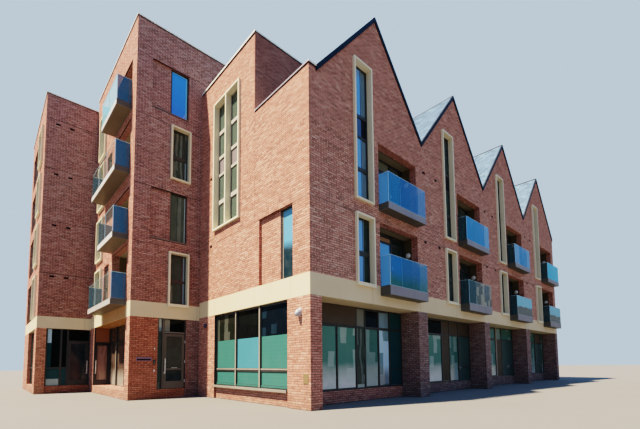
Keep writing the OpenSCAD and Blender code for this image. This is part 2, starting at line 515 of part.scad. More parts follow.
module shop_transoms() color("#3a3d3f") {
  for (b = [0:3]) let (s = seg(b)) for (k = [0:len(s)-2]) {
    bx(s[k] + mw/2, s[k+1] - mw/2, shop_y, shop_y + md, 2680, 2740);
    if (k != dk[b]) bx(s[k] + mw/2, s[k+1] - mw/2, shop_y, shop_y + md, sz0[b], sz0[b] + 60);
    bx(s[k] + mw/2, s[k+1] - mw/2, shop_y, shop_y + md, band_z0 - 60, band_z0);
  }
  for (y = qs) {
    bx(100, 200, y[0], y[1], 1130, 1215);
    bx(100, 200, y[0], y[1], 550, 630);
    bx(100, 200, y[0], y[1], band_z0 - 60, band_z0);
  }
  // light sill under the square shopfront
  bx(-40, 220, 1125, 6115, 450, 546);
  bx(-1495, -595, mid_y + 120, mid_y + 220, 2710, 2780);
  bx(-1720, -1565, mid_y + 120, mid_y + 220, 2710, 2780);
  bx(-2830, -2182, 13780, 13875, 2520, 2590);
  for (y = [[8290, 9800], [9900, 10900], [11000, 12400], [12500, 13780]]) bx(-2175, -2075, y[0], y[1], 2500, 2560);
  for (x = [[-4750, -4185], [-4125, -3895]]) bx(x[0], x[1], rear_y + 150, rear_y + 250, 1250, 1300);
  for (y = rs) bx(rear_x + 150, rear_x + 250, y[0], y[1], 1250, 1300);
  bx(-3835, -2935, rear_y + 150, rear_y + 250, 2640, 2700);
}
module shop_glass() color("#4d8278") {
  for (b = [0:3]) let (s = seg(b)) for (k = [0:len(s)-2]) {
    if (k != dk[b]) bx(s[k] + mw/2, s[k+1] - mw/2, shop_y + 40, shop_y + 64, sz0[b] + 60, 2680);
    bx(s[k] + mw/2, s[k+1] - mw/2, shop_y + 40, shop_y + 64, 2740, band_z0 - 60);
  }
  for (y = qs) {
    bx(140, 164, y[0], y[1], 630, 1130);
    bx(140, 164, y[0], y[1], 1215, band_z0 - 60);
  }
  bx(-1720, -1565, mid_y + 155, mid_y + 179, 360, 2710);
  bx(-1720, -1565, mid_y + 155, mid_y + 179, 2780, 3345);
  bx(-1495, -595, mid_y + 155, mid_y + 179, 2780, 3345);
  bx(-2830, -2182, 13815, 13839, 2590, 3345);
  for (y = [[8290, 9800], [9900, 10900], [11000, 12400], [12500, 13780]]) {
    bx(-2105, -2081, y[0], y[1], 360, 2500);
    bx(-2105, -2081, y[0], y[1], 2560, 3345);
  }
  for (x = [[-4750, -4185], [-4125, -3895]]) {
    bx(x[0], x[1], rear_y + 190, rear_y + 214, 360, 1250);
    bx(x[0], x[1], rear_y + 190, rear_y + 214, 1300, 3285);
  }
  bx(-3835, -2935, rear_y + 190, rear_y + 214, 2700, 3285);
  for (y = rs) {
    bx(rear_x + 190, rear_x + 214, y[0], y[1], 360, 1250);
    bx(rear_x + 190, rear_x + 214, y[0], y[1], 1300, 3285);
  }
}

// ---------- balcony recesses and balconies ----------
module recess_cheeks() color("#6b3d33") {
  for (i = [0:bays-1]) for (z = [[st_f[0], z_j1], [st_f[1], rec_h]]) {
    o = i * bay_w;
    bx(log_x0 - 100 + o, log_x0 + o, wall_t, log_d + 60, z[0], z[1]);
    bx(log_x1 + o, log_x1 + 100 + o, wall_t, log_d + 60, z[0], z[1]);
  }
  for (k = [0:3]) {
    bx(mid_x + wall_t, mid_x + mlx, ry0 - 100, ry0, mid_f[k], mid_h[k]);
    bx(mid_x + wall_t, mid_x + mlx, ry1, ry1 + 100, mid_f[k], mid_h[k]);
  }
}
module recess_soffits() color("#4a4234") {
  for (i = [0:bays-1]) {
    o = i * bay_w;
    bx(log_x0 - 100 + o, log_x1 + 100 + o, wall_t, log_d + 60, z_j1 + jt, st_f[1] - 300);
    bx(log_x0 - 100 + o, log_x1 + 100 + o, wall_t, log_d + 60, rec_h, st_f[2] - 300);
  }
  for (k = [0:2]) bx(mid_x + wall_t, mid_x + mlx, ry0 - 100, ry1 + 100, mid_h[k], mid_f[k+1] - 250);
  bx(mid_x + wall_t, mid_x + mlx, ry0 - 100, ry1 + 100, mid_h[3], 14700);
}
module recess_screens() color("#39454a") {
  for (i = [0:bays-1]) for (z = [[st_f[0], z_j1], [st_f[1], rec_h]])
    bx(log_x0 + i * bay_w, log_x1 + i * bay_w, log_d, log_d + 60, z[0], z[1]);
  for (k = [0:3]) bx(mid_x + mlx - 60, mid_x + mlx, ry0, ry1, mid_f[k], mid_h[k]);
}
// near and far ends of the wing balconies, top and underside
sb0 = 8230;
sb = [[12450, 3850], [10840, 6600], [12480, 9450], [10840, 12300]];
module balcony_slabs() color("#77787a") {
  for (i = [0:bays-1]) {
    bx(log_x0 - 20 + i * bay_w, log_x1 - 20 + i * bay_w, -balc_d, 0, 3800, band_z1);
    bx(log_x0 - 20 + i * bay_w, log_x1 - 20 + i * bay_w, -balc_d, 0, 6950, 7200);
  }
  for (s = sb) bx(mid_x - side_d, mid_x, sb0, s[0], s[1], s[1] + 230);
}
module balcony_glass() color("#3f7fb5") {
  for (i = [0:bays-1]) for (z = [[band_z1, 5260], [7200, 8340]]) {
    o = i * bay_w;
    bx(log_x0 - 10 + o, log_x1 - 30 + o, -balc_d + 10, -balc_d + 30, z[0], z[1]);
    bx(log_x0 - 10 + o, log_x0 + 10 + o, -balc_d + 35, -20, z[0], z[1]);
    bx(log_x1 - 50 + o, log_x1 - 30 + o, -balc_d + 35, -20, z[0], z[1]);
  }
  for (s = sb) {
    bx(mid_x - side_d + 10, mid_x - side_d + 30, sb0 + 10, s[0] - 10, s[1] + 230, s[1] + 1330);
    bx(mid_x - side_d + 35, mid_x - 20, sb0 + 10, sb0 + 30, s[1] + 230, s[1] + 1330);
    bx(mid_x - side_d + 35, mid_x - 20, s[0] - 30, s[0] - 10, s[1] + 230, s[1] + 1330);
  }
}
module lamp(x, y, z, r, h) translate([x - cx, y - cy, z]) rotate([0, -90, 0]) cylinder(h = h, r = r, $fn = 40);
module wall_lamps() color("#d8d8d4") {
  for (i = [0:bays-1]) for (z = [5870, 8940]) lamp(log_x1 + i * bay_w, 470, z, 120, 60);
  lamp(0, 455, 2950, 100, 160);
  lamp(0, 6920, 3060, 80, 120);
}

// ---------- hinged doors ----------
// leaf ring with a glazed field, hinged at its right edge, face at y
module leaf_ring(x0, x1, y, z0, z1, st, br)
  difference() {
    bx(x0, x1, y, y + leaf_t, z0, z1);
    bx(x0 + st, x1 - st, y - 1, y + leaf_t + 1, z0 + br, z1 - st);
  }
// hinge knuckles on a leaf, on its turning axis
module knuckles(x, y, z0, z1)
  for (z = [z0 + 180, (z0 + z1) / 2 - 50, z1 - 280])
    translate([x - cx, y - cy, z]) cylinder(h = 100, r = 5, $fn = 24);
module pull(x, y, z0, z1) {
  bx(x - 14, x + 14, y - 70, y - 42, z0, z1);
  bx(x - 10, x + 10, y - 42, y, z0 + 30, z0 + 50);
  bx(x - 10, x + 10, y - 42, y, z1 - 50, z1 - 30);
}
ed_x1 = -603; ed_y = mid_y + 130;
module entrance_door() color("#2f3336") {
  leaf_ring(ed_x1 - door_w, ed_x1, ed_y, 375, 375 + door_h + 37, 95, 300);
  knuckles(ed_x1 - 2, ed_y + leaf_t + 4, 375, 375 + door_h);
}
module entrance_glass() color("#33413f") bx(ed_x1 - door_w + 95, ed_x1 - 95, ed_y + 20, ed_y + 40, 675, 375 + door_h + 37 - 95);
module entrance_pull() color("#c9ccd0") pull(ed_x1 - door_w + 45, ed_y, 1050, 1650);
pd_x1 = -2190; pd_y = 13790;
module porch_door() color("#2f3336") {
  leaf_ring(-2822, pd_x1, pd_y, 375, 2512, 80, 250);
  knuckles(pd_x1 - 2, pd_y - 4, 375, 2512);
}
module porch_glass() color("#33413f") bx(-2742, pd_x1 - 80, pd_y + 20, pd_y + 40, 625, 2432);
module porch_pull() color("#c9ccd0") pull(-2782, pd_y, 1050, 1650);
sd_y = rear_y + 160;
module shop_door() color("#2f3336") {
  leaf_ring(-3827, -2943, sd_y, 375, 2632, 90, 250);
  knuckles(-3825, sd_y + leaf_t + 4, 375, 2632);
}
module shop_door_glass() color("#33413f") bx(-3737, -3033, sd_y + 20, sd_y + 40, 625, 2542);
module shop_door_pull() color("#c9ccd0") pull(-2988, sd_y, 1050, 1650);
// plain panelled leaf hinged at x = hx
module green_leaf(x0, x1, hx, z0) color("#2b3b38") {
  bx(x0, x1, shop_y + 10, shop_y + 10 + leaf_t, z0, 2672);
  knuckles(hx, shop_y + 14 + leaf_t, z0, 2672);
}
module green_door_a() green_leaf(10868, 12042, 12040, 428);
module green_door_b() green_leaf(16438, 17291, 16440, 508);
module green_door_c() green_leaf(17304, 18157, 18155, 508);
module green_door_d() green_leaf(22568, 23792, 22570, 508);

ground_piers();
shop_plinths();
storey_band();
corner_wall();
street_wall();
front_spandrels();
tower_wall();
wing_front_wall();
wing_side_wall();
wing_spandrels();
back_walls();
back_spandrels();
end_walls();
floor_slabs();
wing_floors();
flat_roofs();
west_slopes();
east_slopes();
roof_trims();
copings();
window_jambs();
window_heads();
window_glass();
shop_mullions();
shop_transoms();
shop_glass();
recess_cheeks();
recess_soffits();
recess_screens();
balcony_slabs();
balcony_glass();
wall_lamps();
entrance_door();
entrance_glass();
entrance_pull();
porch_door();
porch_glass();
porch_pull();
shop_door();
shop_door_glass();
shop_door_pull();
green_door_a();
green_door_b();
green_door_c();
green_door_d();
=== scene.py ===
import bpy
import math
import random
from mathutils import Matrix, Vector


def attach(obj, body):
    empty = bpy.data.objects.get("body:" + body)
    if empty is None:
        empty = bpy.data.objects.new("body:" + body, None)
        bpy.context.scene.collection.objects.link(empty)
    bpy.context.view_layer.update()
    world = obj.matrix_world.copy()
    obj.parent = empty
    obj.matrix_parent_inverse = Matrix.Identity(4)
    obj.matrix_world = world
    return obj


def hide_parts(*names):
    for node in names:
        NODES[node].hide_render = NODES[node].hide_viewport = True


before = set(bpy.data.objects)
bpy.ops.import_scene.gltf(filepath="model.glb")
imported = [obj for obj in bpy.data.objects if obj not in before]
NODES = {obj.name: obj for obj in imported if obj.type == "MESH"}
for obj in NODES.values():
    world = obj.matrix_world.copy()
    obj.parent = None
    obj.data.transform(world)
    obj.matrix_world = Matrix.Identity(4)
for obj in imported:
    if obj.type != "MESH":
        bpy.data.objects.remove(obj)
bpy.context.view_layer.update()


OX, OY = 9.7675, 10.525      # street corner at ground, seen from the frame's origin
rnd = random.Random(7)

# ------------------------------------------------------------------ materials


class Tree:
    """A small helper round one node tree."""

    def __init__(self, name):
        self.m = bpy.data.materials.new(name)
        self.m.use_nodes = True
        self.t = self.m.node_tree
        self.t.nodes.clear()
        self.out = self.t.nodes.new("ShaderNodeOutputMaterial")
        self.b = self.t.nodes.new("ShaderNodeBsdfPrincipled")
        self.link(self.b.outputs[0], self.out.inputs[0])
        self._tc = None

    def n(self, kind, **kw):
        node = self.t.nodes.new("ShaderNode" + kind)
        for k, v in kw.items():
            setattr(node, k, v)
        return node

    def link(self, a, b):
        self.t.links.new(a, b)

    def put(self, sock, v):
        if isinstance(v, bpy.types.NodeSocket):
            self.link(v, sock)
        else:
            sock.default_value = v

    @property
    def pos(self):
        if self._tc is None:
            self._tc = self.n("TexCoord")
        return self._tc.outputs["Object"]

    @property
    def nor(self):
        self.pos
        return self._tc.outputs["Normal"]

    def xyz(self, v):
        s = self.n("SeparateXYZ")
        self.link(v, s.inputs[0])
        return s.outputs

    def vec(self, x, y, z):
        c = self.n("CombineXYZ")
        for k, v in enumerate((x, y, z)):
            self.put(c.inputs[k], v)
        return c.outputs[0]

    def math(self, op, a, b=0.0, c=None, clamp=False):
        m = self.n("Math", operation=op, use_clamp=clamp)
        self.put(m.inputs[0], a)
        self.put(m.inputs[1], b)
        if c is not None:
            self.put(m.inputs[2], c)
        return m.outputs[0]

    def mix(self, f, a, b, kind="MIX"):
        m = self.n("Mix", data_type="RGBA", blend_type=kind)
        self.put(m.inputs[0], f)
        self.put(m.inputs[6], a)
        self.put(m.inputs[7], b)
        return m.outputs[2]

    def mixf(self, f, a, b):
        m = self.n("Mix", data_type="FLOAT")
        self.put(m.inputs[0], f)
        self.put(m.inputs[2], a)
        self.put(m.inputs[3], b)
        return m.outputs[0]

    def noise(self, scale, detail=3.0, rough=0.55, vec=None, dist=0.0):
        t = self.n("TexNoise")
        self.link(self.pos if vec is None else vec, t.inputs["Vector"])
        t.inputs["Scale"].default_value = scale
        t.inputs["Detail"].default_value = detail
        t.inputs["Roughness"].default_value = rough
        t.inputs["Distortion"].default_value = dist
        return t.outputs[0]

    def ramp(self, f, stops, interp="LINEAR"):
        r = self.n("ValToRGB")
        r.color_ramp.interpolation = interp
        e = r.color_ramp.elements
        while len(e) < len(stops):
            e.new(0.5)
        for k, (p, c) in enumerate(stops):
            e[k].position = p
            e[k].color = c if len(c) == 4 else (*c, 1.0)
        self.link(f, r.inputs[0])
        return r.outputs[0]

    def span(self, f, a, b, lo=0.0, hi=1.0):
        m = self.n("MapRange")
        self.put(m.inputs[0], f)
        for k, v in enumerate((a, b, lo, hi)):
            m.inputs[k + 1].default_value = v
        return m.outputs[0]

    def bump(self, h, strength, dist=0.01, under=None):
        b = self.n("Bump")
        b.inputs["Strength"].default_value = strength
        b.inputs["Distance"].default_value = dist
        self.link(h, b.inputs["Height"])
        if under is not None:
            self.link(under, b.inputs["Normal"])
        return b.outputs[0]

    def wall_uv(self, shift=0.0):
        """Along-wall distance and height on any upright or level face."""
        nx, ny, nz = self.xyz(self.nor)
        px, py, pz = self.xyz(self.pos)
        side = self.math("GREATER_THAN", self.math("ABSOLUTE", nx), 0.6)
        flat = self.math("GREATER_THAN", self.math("ABSOLUTE", nz), 0.6)
        u = self.mixf(side, self.math("ADD", px, OX + 0.1125 + shift), self.math("ADD", py, OY + shift))
        v = self.mixf(flat, pz, self.math("ADD", py, OY))
        return u, v


def rgb(r, g, b):
    return (r, g, b, 1.0)


def brick(name, tone=(1.0, 1.0, 1.0)):
    """Stretcher-bond facing brick, 225 by 75 mm with its joint, pale perpends and shaded bed joints."""
    t = Tree(name)
    u, v = t.wall_uv()
    uu = t.math("ADD", u, t.span(t.noise(9.0, 2.0), 0.3, 0.7, -0.003, 0.003))
    vv = t.math("ADD", v, t.span(t.noise(11.0, 2.0), 0.3, 0.7, -0.002, 0.002))
    br = t.n("TexBrick", offset=0.5, offset_frequency=2, squash=1.0)
    t.link(t.vec(uu, vv, 0.0), br.inputs["Vector"])
    br.inputs["Color1"].default_value = rgb(0, 0, 0)
    br.inputs["Color2"].default_value = rgb(1, 1, 1)
    br.inputs["Mortar"].default_value = rgb(0.5, 0.5, 0.5)
    br.inputs["Scale"].default_value = 1.0
    br.inputs["Mortar Size"].default_value = 0.0055
    br.inputs["Mortar Smooth"].default_value = 0.2
    br.inputs["Bias"].default_value = 0.0
    br.inputs["Brick Width"].default_value = 0.225
    br.inputs["Row Height"].default_value = 0.075
    tint = t.xyz(br.outputs["Color"])[0]
    fac = br.outputs["Fac"]
    # a second, unrelated tint for each brick from its row and column
    row = t.math("FLOOR", t.math("DIVIDE", vv, 0.075))
    shift = t.math("MULTIPLY", t.math("MODULO", row, 2.0), 0.1125)
    colm = t.math("FLOOR", t.math("DIVIDE", t.math("ADD", uu, shift), 0.225))
    wn = t.n("TexWhiteNoise", noise_dimensions="2D")
    t.link(t.vec(colm, row, 0.0), wn.inputs["Vector"])
    pick = wn.outputs["Value"]
    body = t.ramp(tint, [(0.0, (0.250, 0.091, 0.074)), (0.2, (0.340, 0.131, 0.105)), (0.5, (0.405, 0.163, 0.131)),
                         (0.8, (0.465, 0.200, 0.162)), (1.0, (0.540, 0.262, 0.214))])
    body = t.mix(t.span(pick, 0.88, 0.94, 0.0, 0.5), body, rgb(0.68, 0.42, 0.34))
    body = t.mix(t.span(pick, 0.12, 0.06, 0.0, 0.6), body, rgb(0.135, 0.056, 0.052))
    # burnt and sandy patches smaller than a brick
    spot = t.noise(13.0, 3.0, 0.7)
    body = t.mix(t.span(spot, 0.52, 0.66, 0.0, 0.50), body, rgb(0.66, 0.38, 0.30))
    body = t.mix(t.span(spot, 0.48, 0.34, 0.0, 0.55), body, rgb(0.170, 0.062, 0.052))
    # creasing and sand on each brick
    crease = t.noise(60.0, 4.0, 0.65)
    body = t.mix(t.span(crease, 0.42, 0.75, 0.0, 0.32), body, rgb(0.59, 0.32, 0.24))
    speck = t.noise(210.0, 2.0, 0.5)
    body = t.mix(t.span(speck, 0.62, 0.72, 0.0, 0.5), body, rgb(0.10, 0.05, 0.04))
    # slow change of batch over the wall
    slow = t.noise(0.55, 3.0, 0.6)
    body = t.mix(t.span(slow, 0.35, 0.68, 0.0, 0.25), body, rgb(0.47, 0.18, 0.138))
    pale = t.noise(0.35, 4.0, 0.65, None, 0.6)
    body = t.mix(t.span(pale, 0.56, 0.72, 0.0, 0.12), body, rgb(0.57, 0.37, 0.33))
    # bed joints sit in the shade of the course above, perpends catch the light
    bf = t.math("FRACT", t.math("DIVIDE", vv, 0.075))
    bd = t.math("MINIMUM", bf, t.math("SUBTRACT", 1.0, bf))
    bed = t.math("LESS_THAN", bd, 0.10)
    fac = t.math("MAXIMUM", fac, t.math("MULTIPLY", bed, 0.8))
    grit = t.noise(80.0, 3.0)
    mort = t.mix(bed, t.mix(grit, rgb(0.56, 0.43, 0.355), rgb(0.86, 0.71, 0.60)), t.mix(grit, rgb(0.105, 0.068, 0.054), rgb(0.20, 0.145, 0.118)))
    col = t.mix(fac, body, mort)
    sx, sy, sz = t.xyz(t.pos)
    run = t.noise(1.0, 4.0, 0.6, t.vec(t.math("MULTIPLY", u, 5.0), t.math("MULTIPLY", v, 0.35), 0.0))
    col = t.mix(t.span(run, 0.57, 0.8, 0.0, 0.20), col, rgb(0.16, 0.090, 0.068))
    low = t.span(t.math("ADD", sz, t.math("MULTIPLY", t.noise(2.5, 4.0), 0.7)), 0.35, 1.0, 0.3, 0.0)
    col = t.mix(low, col, rgb(0.14, 0.10, 0.08))
    # painted shade: the return above the low corner roof stays darker, facing away from the sun with no light thrown up
    # from the roof below
    back = t.math("MULTIPLY", t.math("GREATER_THAN", sz, 10.84),
                  t.math("LESS_THAN", t.math("ABSOLUTE", t.math("SUBTRACT", sy, 3.07 - OY)), 0.04))
    col = t.mix(t.math("MULTIPLY", back, 0.45), col, rgb(0.085, 0.040, 0.045))
    if tone != (1.0, 1.0, 1.0):
        col = t.mix(1.0, col, rgb(*tone), "MULTIPLY")
    # painted light on the set-back fronts: orange at the foot for warm light thrown up from the ground, mauve at the
    # top for cool shade
    bounce_and_shade_ramp = t.ramp(t.span(sz, 0.0, 16.0), [(0.0, (0.47, 0.375, 0.30)), (0.205, (0.47, 0.38, 0.305)), (0.26, (0.425, 0.450, 0.435)),
                                         (0.55, (0.460, 0.550, 0.600)), (0.85, (0.485, 0.610, 0.680))])
    north = t.math("MULTIPLY", t.math("LESS_THAN", t.xyz(t.nor)[1], -0.6), t.math("GREATER_THAN", sy, 7.55 - OY))
    col = t.mix(north, col, t.mix(1.0, t.mix(1.0, col, bounce_and_shade_ramp, "MULTIPLY"), rgb(2.0, 2.0, 2.0), "MULTIPLY"))
    # the street front is a little greyer low down; painted shade darkens its recessed ground-floor piers
    front = t.math("MULTIPLY", t.math("LESS_THAN", t.xyz(t.nor)[1], -0.6),
                   t.math("MULTIPLY", t.math("LESS_THAN", sy, 1.0 - OY), t.math("GREATER_THAN", sz, 3.4)))
    veil = t.ramp(t.span(sz, 3.4, 14.0), [(0.0, (0.535, 0.625, 0.640)), (0.35, (0.535, 0.610, 0.625)), (1.0, (0.525, 0.550, 0.545))])
    col = t.mix(front, col, t.mix(1.0, t.mix(1.0, col, veil, "MULTIPLY"), rgb(2.0, 2.0, 2.0), "MULTIPLY"))
    recessed_pier_shade = t.math("MULTIPLY", t.math("MULTIPLY", t.math("LESS_THAN", sz, 3.44), t.math("GREATER_THAN", sx, 5.8 - OX)),
                  t.math("LESS_THAN", sy, 1.5 - OY))
    col = t.mix(recessed_pier_shade, col, t.mix(1.0, col, rgb(0.58, 0.84, 1.0), "MULTIPLY"))
    # painted shade darkens the inner corner beside the entrance; painted light makes the far corner pier paler
    foot = t.math("MULTIPLY", t.math("LESS_THAN", sz, 3.345), north)
    inner_corner_shade = t.math("MULTIPLY", foot, t.math("GREATER_THAN", sx, -0.6 - OX))
    col = t.mix(inner_corner_shade, col, t.mix(1.0, col, rgb(0.60, 0.92, 1.30), "MULTIPLY"))
    pale = t.math("MULTIPLY", foot, t.math("LESS_THAN", sx, -4.79 - OX))
    col = t.mix(pale, col, t.mix(1.0, col, rgb(1.22, 1.45, 1.45), "MULTIPLY"))
    t.link(col, t.b.inputs["Base Color"])
    t.link(t.mixf(fac, t.span(crease, 0.3, 0.7, 0.74, 0.9), 0.95), t.b.inputs["Roughness"])
    h = t.math("SUBTRACT", t.math("MULTIPLY", t.math("SUBTRACT", 1.0, fac), 1.0), t.math("MULTIPLY", crease, 0.25))
    n1 = t.bump(h, 1.0, 0.008)
    t.link(t.bump(t.math("MULTIPLY", t.math("SUBTRACT", 1.0, fac), tint), 0.4, 0.004, n1), t.b.inputs["Normal"])
    t.b.inputs["Specular IOR Level"].default_value = 0.15
    return t.m


def metal_coat(name, col, col2, rough=0.42, seam=0.0, streak=0.12, metallic=0.0, dirt=(0.2, 0.16, 0.12), dirt_amt=0.12,
               spec=0.5, porch_shade=None):
    """Coated metal sheet: slight batch change, rain streaks, dusty ledges, and optional painted shade on the band's
    length over the porch.
    """
    t = Tree(name)
    u, v = t.wall_uv()
    c = t.mix(t.span(t.noise(0.9, 3.0), 0.35, 0.65), rgb(*col), rgb(*col2))
    run = t.noise(1.0, 4.0, 0.6, t.vec(t.math("MULTIPLY", u, 22.0), t.math("MULTIPLY", v, 0.9), 0.0))
    c = t.mix(t.span(run, 0.52, 0.8, 0.0, streak), c, rgb(*dirt))
    fine = t.noise(140.0, 3.0, 0.6)
    c = t.mix(t.span(fine, 0.5, 0.8, 0.0, dirt_amt), c, rgb(*dirt))
    r = t.span(t.noise(7.0, 4.0), 0.3, 0.7, rough - 0.07, rough + 0.12)
    h = t.math("MULTIPLY", t.noise(260.0, 2.0), 0.2)
    if seam:
        w = t.math("FRACT", t.math("DIVIDE", u, seam))
        d = t.math("ABSOLUTE", t.math("SUBTRACT", w, 0.5))
        line = t.math("GREATER_THAN", d, 0.5 - 0.005 / seam)
        c = t.mix(line, c, rgb(col[0] * 0.35, col[1] * 0.35, col[2] * 0.35))
        h = t.math("SUBTRACT", h, t.math("MULTIPLY", line, 1.0))
    if porch_shade is not None:
        # painted shade: the length over the porch, always in the balcony's shade, is darkened to a warm brown
        sy = t.xyz(t.pos)[1]
        z = t.math("MULTIPLY", t.math("LESS_THAN", t.xyz(t.nor)[0], -0.6),
                   t.math("MULTIPLY", t.math("GREATER_THAN", sy, 8.24 - OY), t.math("LESS_THAN", sy, 12.1 - OY)))
        c = t.mix(z, c, t.mix(1.0, c, rgb(*porch_shade), "MULTIPLY"))
    t.link(c, t.b.inputs["Base Color"])
    t.link(r, t.b.inputs["Roughness"])
    t.b.inputs["Metallic"].default_value = metallic
    t.b.inputs["Specular IOR Level"].default_value = spec
    t.link(t.bump(h, 0.25, 0.004), t.b.inputs["Normal"])
    return t.m


def glass(name, col, rough=0.03, alpha=1.0, wave=0.015, dust_amt=0.08, ior=1.7, spec=0.9, fade=None, ranges=(0.0, 1.0),
          patch=None, patch_amt=0.6, wide=0.4, tall=0.9, share=0.3):
    """Reflecting glazing with a slight roller wave and a film of dust; its base colour is painted reflection in pale
    and coloured panes and painted shade of an unlit room in dark ones; fade is a second painted colour down the pane.
    """
    t = Tree(name)
    dust = t.noise(3.0, 5.0, 0.6)
    base = rgb(*col)
    if fade is not None:
        pz = t.xyz(t.pos)[2]
        wav = t.math("ADD", pz, t.math("MULTIPLY", t.noise(1.4, 3.0), 0.35))
        base = t.mix(t.span(wav, ranges[0], ranges[1], 1.0, 0.0), rgb(*col), rgb(*fade))
    if patch is not None:
        # upright oblongs, as of openings mirrored from across the street, bent a little by the pane
        u, v = t.wall_uv()
        bend = t.span(t.noise(0.9, 2.0), 0.3, 0.7, -0.06, 0.06)
        cu = t.math("FLOOR", t.math("DIVIDE", t.math("ADD", u, bend), wide))
        cv = t.math("FLOOR", t.math("DIVIDE", t.math("ADD", v, t.math("MULTIPLY", cu, 0.37)), tall))
        wn = t.n("TexWhiteNoise", noise_dimensions="2D")
        t.link(t.vec(cu, cv, 0.0), wn.inputs["Vector"])
        form = t.math("GREATER_THAN", wn.outputs["Value"], 1.0 - share)
        base = t.mix(t.math("MULTIPLY", form, t.span(dust, 0.3, 0.7, patch_amt * 0.7, patch_amt)), base, rgb(*patch))
    c = t.mix(t.span(dust, 0.4, 0.75, 0.0, dust_amt), base, rgb(0.30, 0.32, 0.32))
    t.link(c, t.b.inputs["Base Color"])
    t.link(t.span(dust, 0.3, 0.8, rough, rough + 0.06), t.b.inputs["Roughness"])
    t.b.inputs["Specular IOR Level"].default_value = spec
    t.b.inputs["IOR"].default_value = ior
    t.link(t.bump(t.noise(1.6, 2.0), wave, 0.02), t.b.inputs["Normal"])
    if alpha < 1.0:
        t.b.inputs["Alpha"].default_value = alpha
    return t.m


def slate(name):
    """Riven slate: the slates are modelled, so this is their face only; its strong blue is partly the slate's own
    blue-grey and partly painted sky reflection.
    """
    t = Tree(name)
    px, py, pz = t.xyz(t.pos)
    up = t.math("MULTIPLY", pz, 1.298)     # distance up the slope
    row = t.math("FLOOR", t.math("DIVIDE", up, 0.2))
    sh = t.math("MULTIPLY", t.math("MODULO", row, 2.0), 0.15)
    col = t.math("FLOOR", t.math("DIVIDE", t.math("ADD", py, sh), 0.3))
    wn = t.n("TexWhiteNoise", noise_dimensions="2D")
    t.link(t.vec(col, row, 0.0), wn.inputs["Vector"])
    tint = wn.outputs["Value"]
    c = t.ramp(tint, [(0.0, (0.040, 0.080, 0.137)), (0.35, (0.062, 0.122, 0.206)), (0.75, (0.080, 0.154, 0.254)),
                      (1.0, (0.114, 0.206, 0.323))])
    c = t.mix(t.span(t.noise(14.0, 5.0, 0.7), 0.4, 0.75, 0.0, 0.3), c, rgb(0.101, 0.182, 0.292))
    c = t.mix(t.span(t.noise(1.1, 4.0, 0.6), 0.5, 0.8, 0.0, 0.2), c, rgb(0.114, 0.200, 0.310))
    t.link(c, t.b.inputs["Base Color"])
    t.link(t.span(t.noise(20.0, 4.0), 0.3, 0.7, 0.36, 0.6), t.b.inputs["Roughness"])
    t.b.inputs["Specular IOR Level"].default_value = 0.4
    t.link(t.bump(t.noise(45.0, 5.0, 0.7), 0.5, 0.006), t.b.inputs["Normal"])
    return t.m


def plain(name, col, col2, rough=0.8, scale=6.0, bump=0.3, spec=0.3, fine=90.0, lap=0.0):
    t = Tree(name)
    c = t.mix(t.span(t.noise(scale, 5.0, 0.65), 0.3, 0.7), rgb(*col), rgb(*col2))
    c = t.mix(t.span(t.noise(fine, 3.0), 0.55, 0.8, 0.0, 0.3), c, rgb(col[0] * 0.5, col[1] * 0.5, col[2] * 0.5))
    h = t.noise(fine, 4.0, 0.6)
    if lap:
        px = t.xyz(t.pos)[0]
        f = t.math("FRACT", t.math("DIVIDE", px, lap))
        e = t.math("LESS_THAN", f, 0.012 / lap)
        c = t.mix(e, c, rgb(col[0] * 0.45, col[1] * 0.45, col[2] * 0.45))
        h = t.math("ADD", h, t.math("MULTIPLY", t.math("LESS_THAN", f, 0.1 / lap), 1.5))
    t.link(c, t.b.inputs["Base Color"])
    t.link(t.span(t.noise(scale * 2, 4.0), 0.3, 0.7, rough - 0.08, min(1.0, rough + 0.08)), t.b.inputs["Roughness"])
    t.b.inputs["Specular IOR Level"].default_value = spec
    t.link(t.bump(h, bump, 0.004), t.b.inputs["Normal"])
    return t.m


def film(name, col, col2):
    """Coloured film behind a shop pane: faint level lines and a soft cloudiness."""
    t = Tree(name)
    pz = t.xyz(t.pos)[2]
    line = t.math("LESS_THAN", t.math("FRACT", t.math("DIVIDE", pz, 0.135)), 0.16)
    c = t.mix(t.span(t.noise(1.4, 4.0, 0.6), 0.35, 0.65), rgb(*col), rgb(*col2))
    c = t.mix(t.math("MULTIPLY", line, 0.10), c, rgb(0.07, 0.22, 0.21))
    t.link(c, t.b.inputs["Base Color"])
    t.link(t.span(t.noise(4.0, 3.0), 0.3, 0.7, 0.30, 0.42), t.b.inputs["Roughness"])
    t.b.inputs["Specular IOR Level"].default_value = 0.25
    t.link(t.bump(t.noise(60.0, 3.0), 0.02, 0.004), t.b.inputs["Normal"])
    return t.m


def boards(name, col, col2, pitch=0.12):
    """Narrow boards running along Y, with dark grooves and a soft grain."""
    t = Tree(name)
    px, py, pz = t.xyz(t.pos)
    f = t.math("FRACT", t.math("DIVIDE", px, pitch))
    groove = t.math("LESS_THAN", f, 0.05)
    wn = t.n("TexWhiteNoise", noise_dimensions="1D")
    t.link(t.math("FLOOR", t.math("DIVIDE", px, pitch)), wn.inputs["W"])
    grain = t.noise(1.0, 5.0, 0.6, t.vec(t.math("MULTIPLY", px, 60.0), t.math("MULTIPLY", py, 2.2), 0.0))
    c = t.mix(wn.outputs["Value"], rgb(*col), rgb(*col2))
    c = t.mix(t.span(grain, 0.4, 0.75, 0.0, 0.4), c, rgb(col[0] * 0.55, col[1] * 0.5, col[2] * 0.45))
    c = t.mix(groove, c, rgb(0.03, 0.02, 0.012))
    t.link(c, t.b.inputs["Base Color"])
    t.link(t.span(grain, 0.3, 0.7, 0.42, 0.6), t.b.inputs["Roughness"])
    h = t.math("SUBTRACT", t.math("MULTIPLY", grain, 0.3), groove)
    t.link(t.bump(h, 0.6, 0.004), t.b.inputs["Normal"])
    return t.m


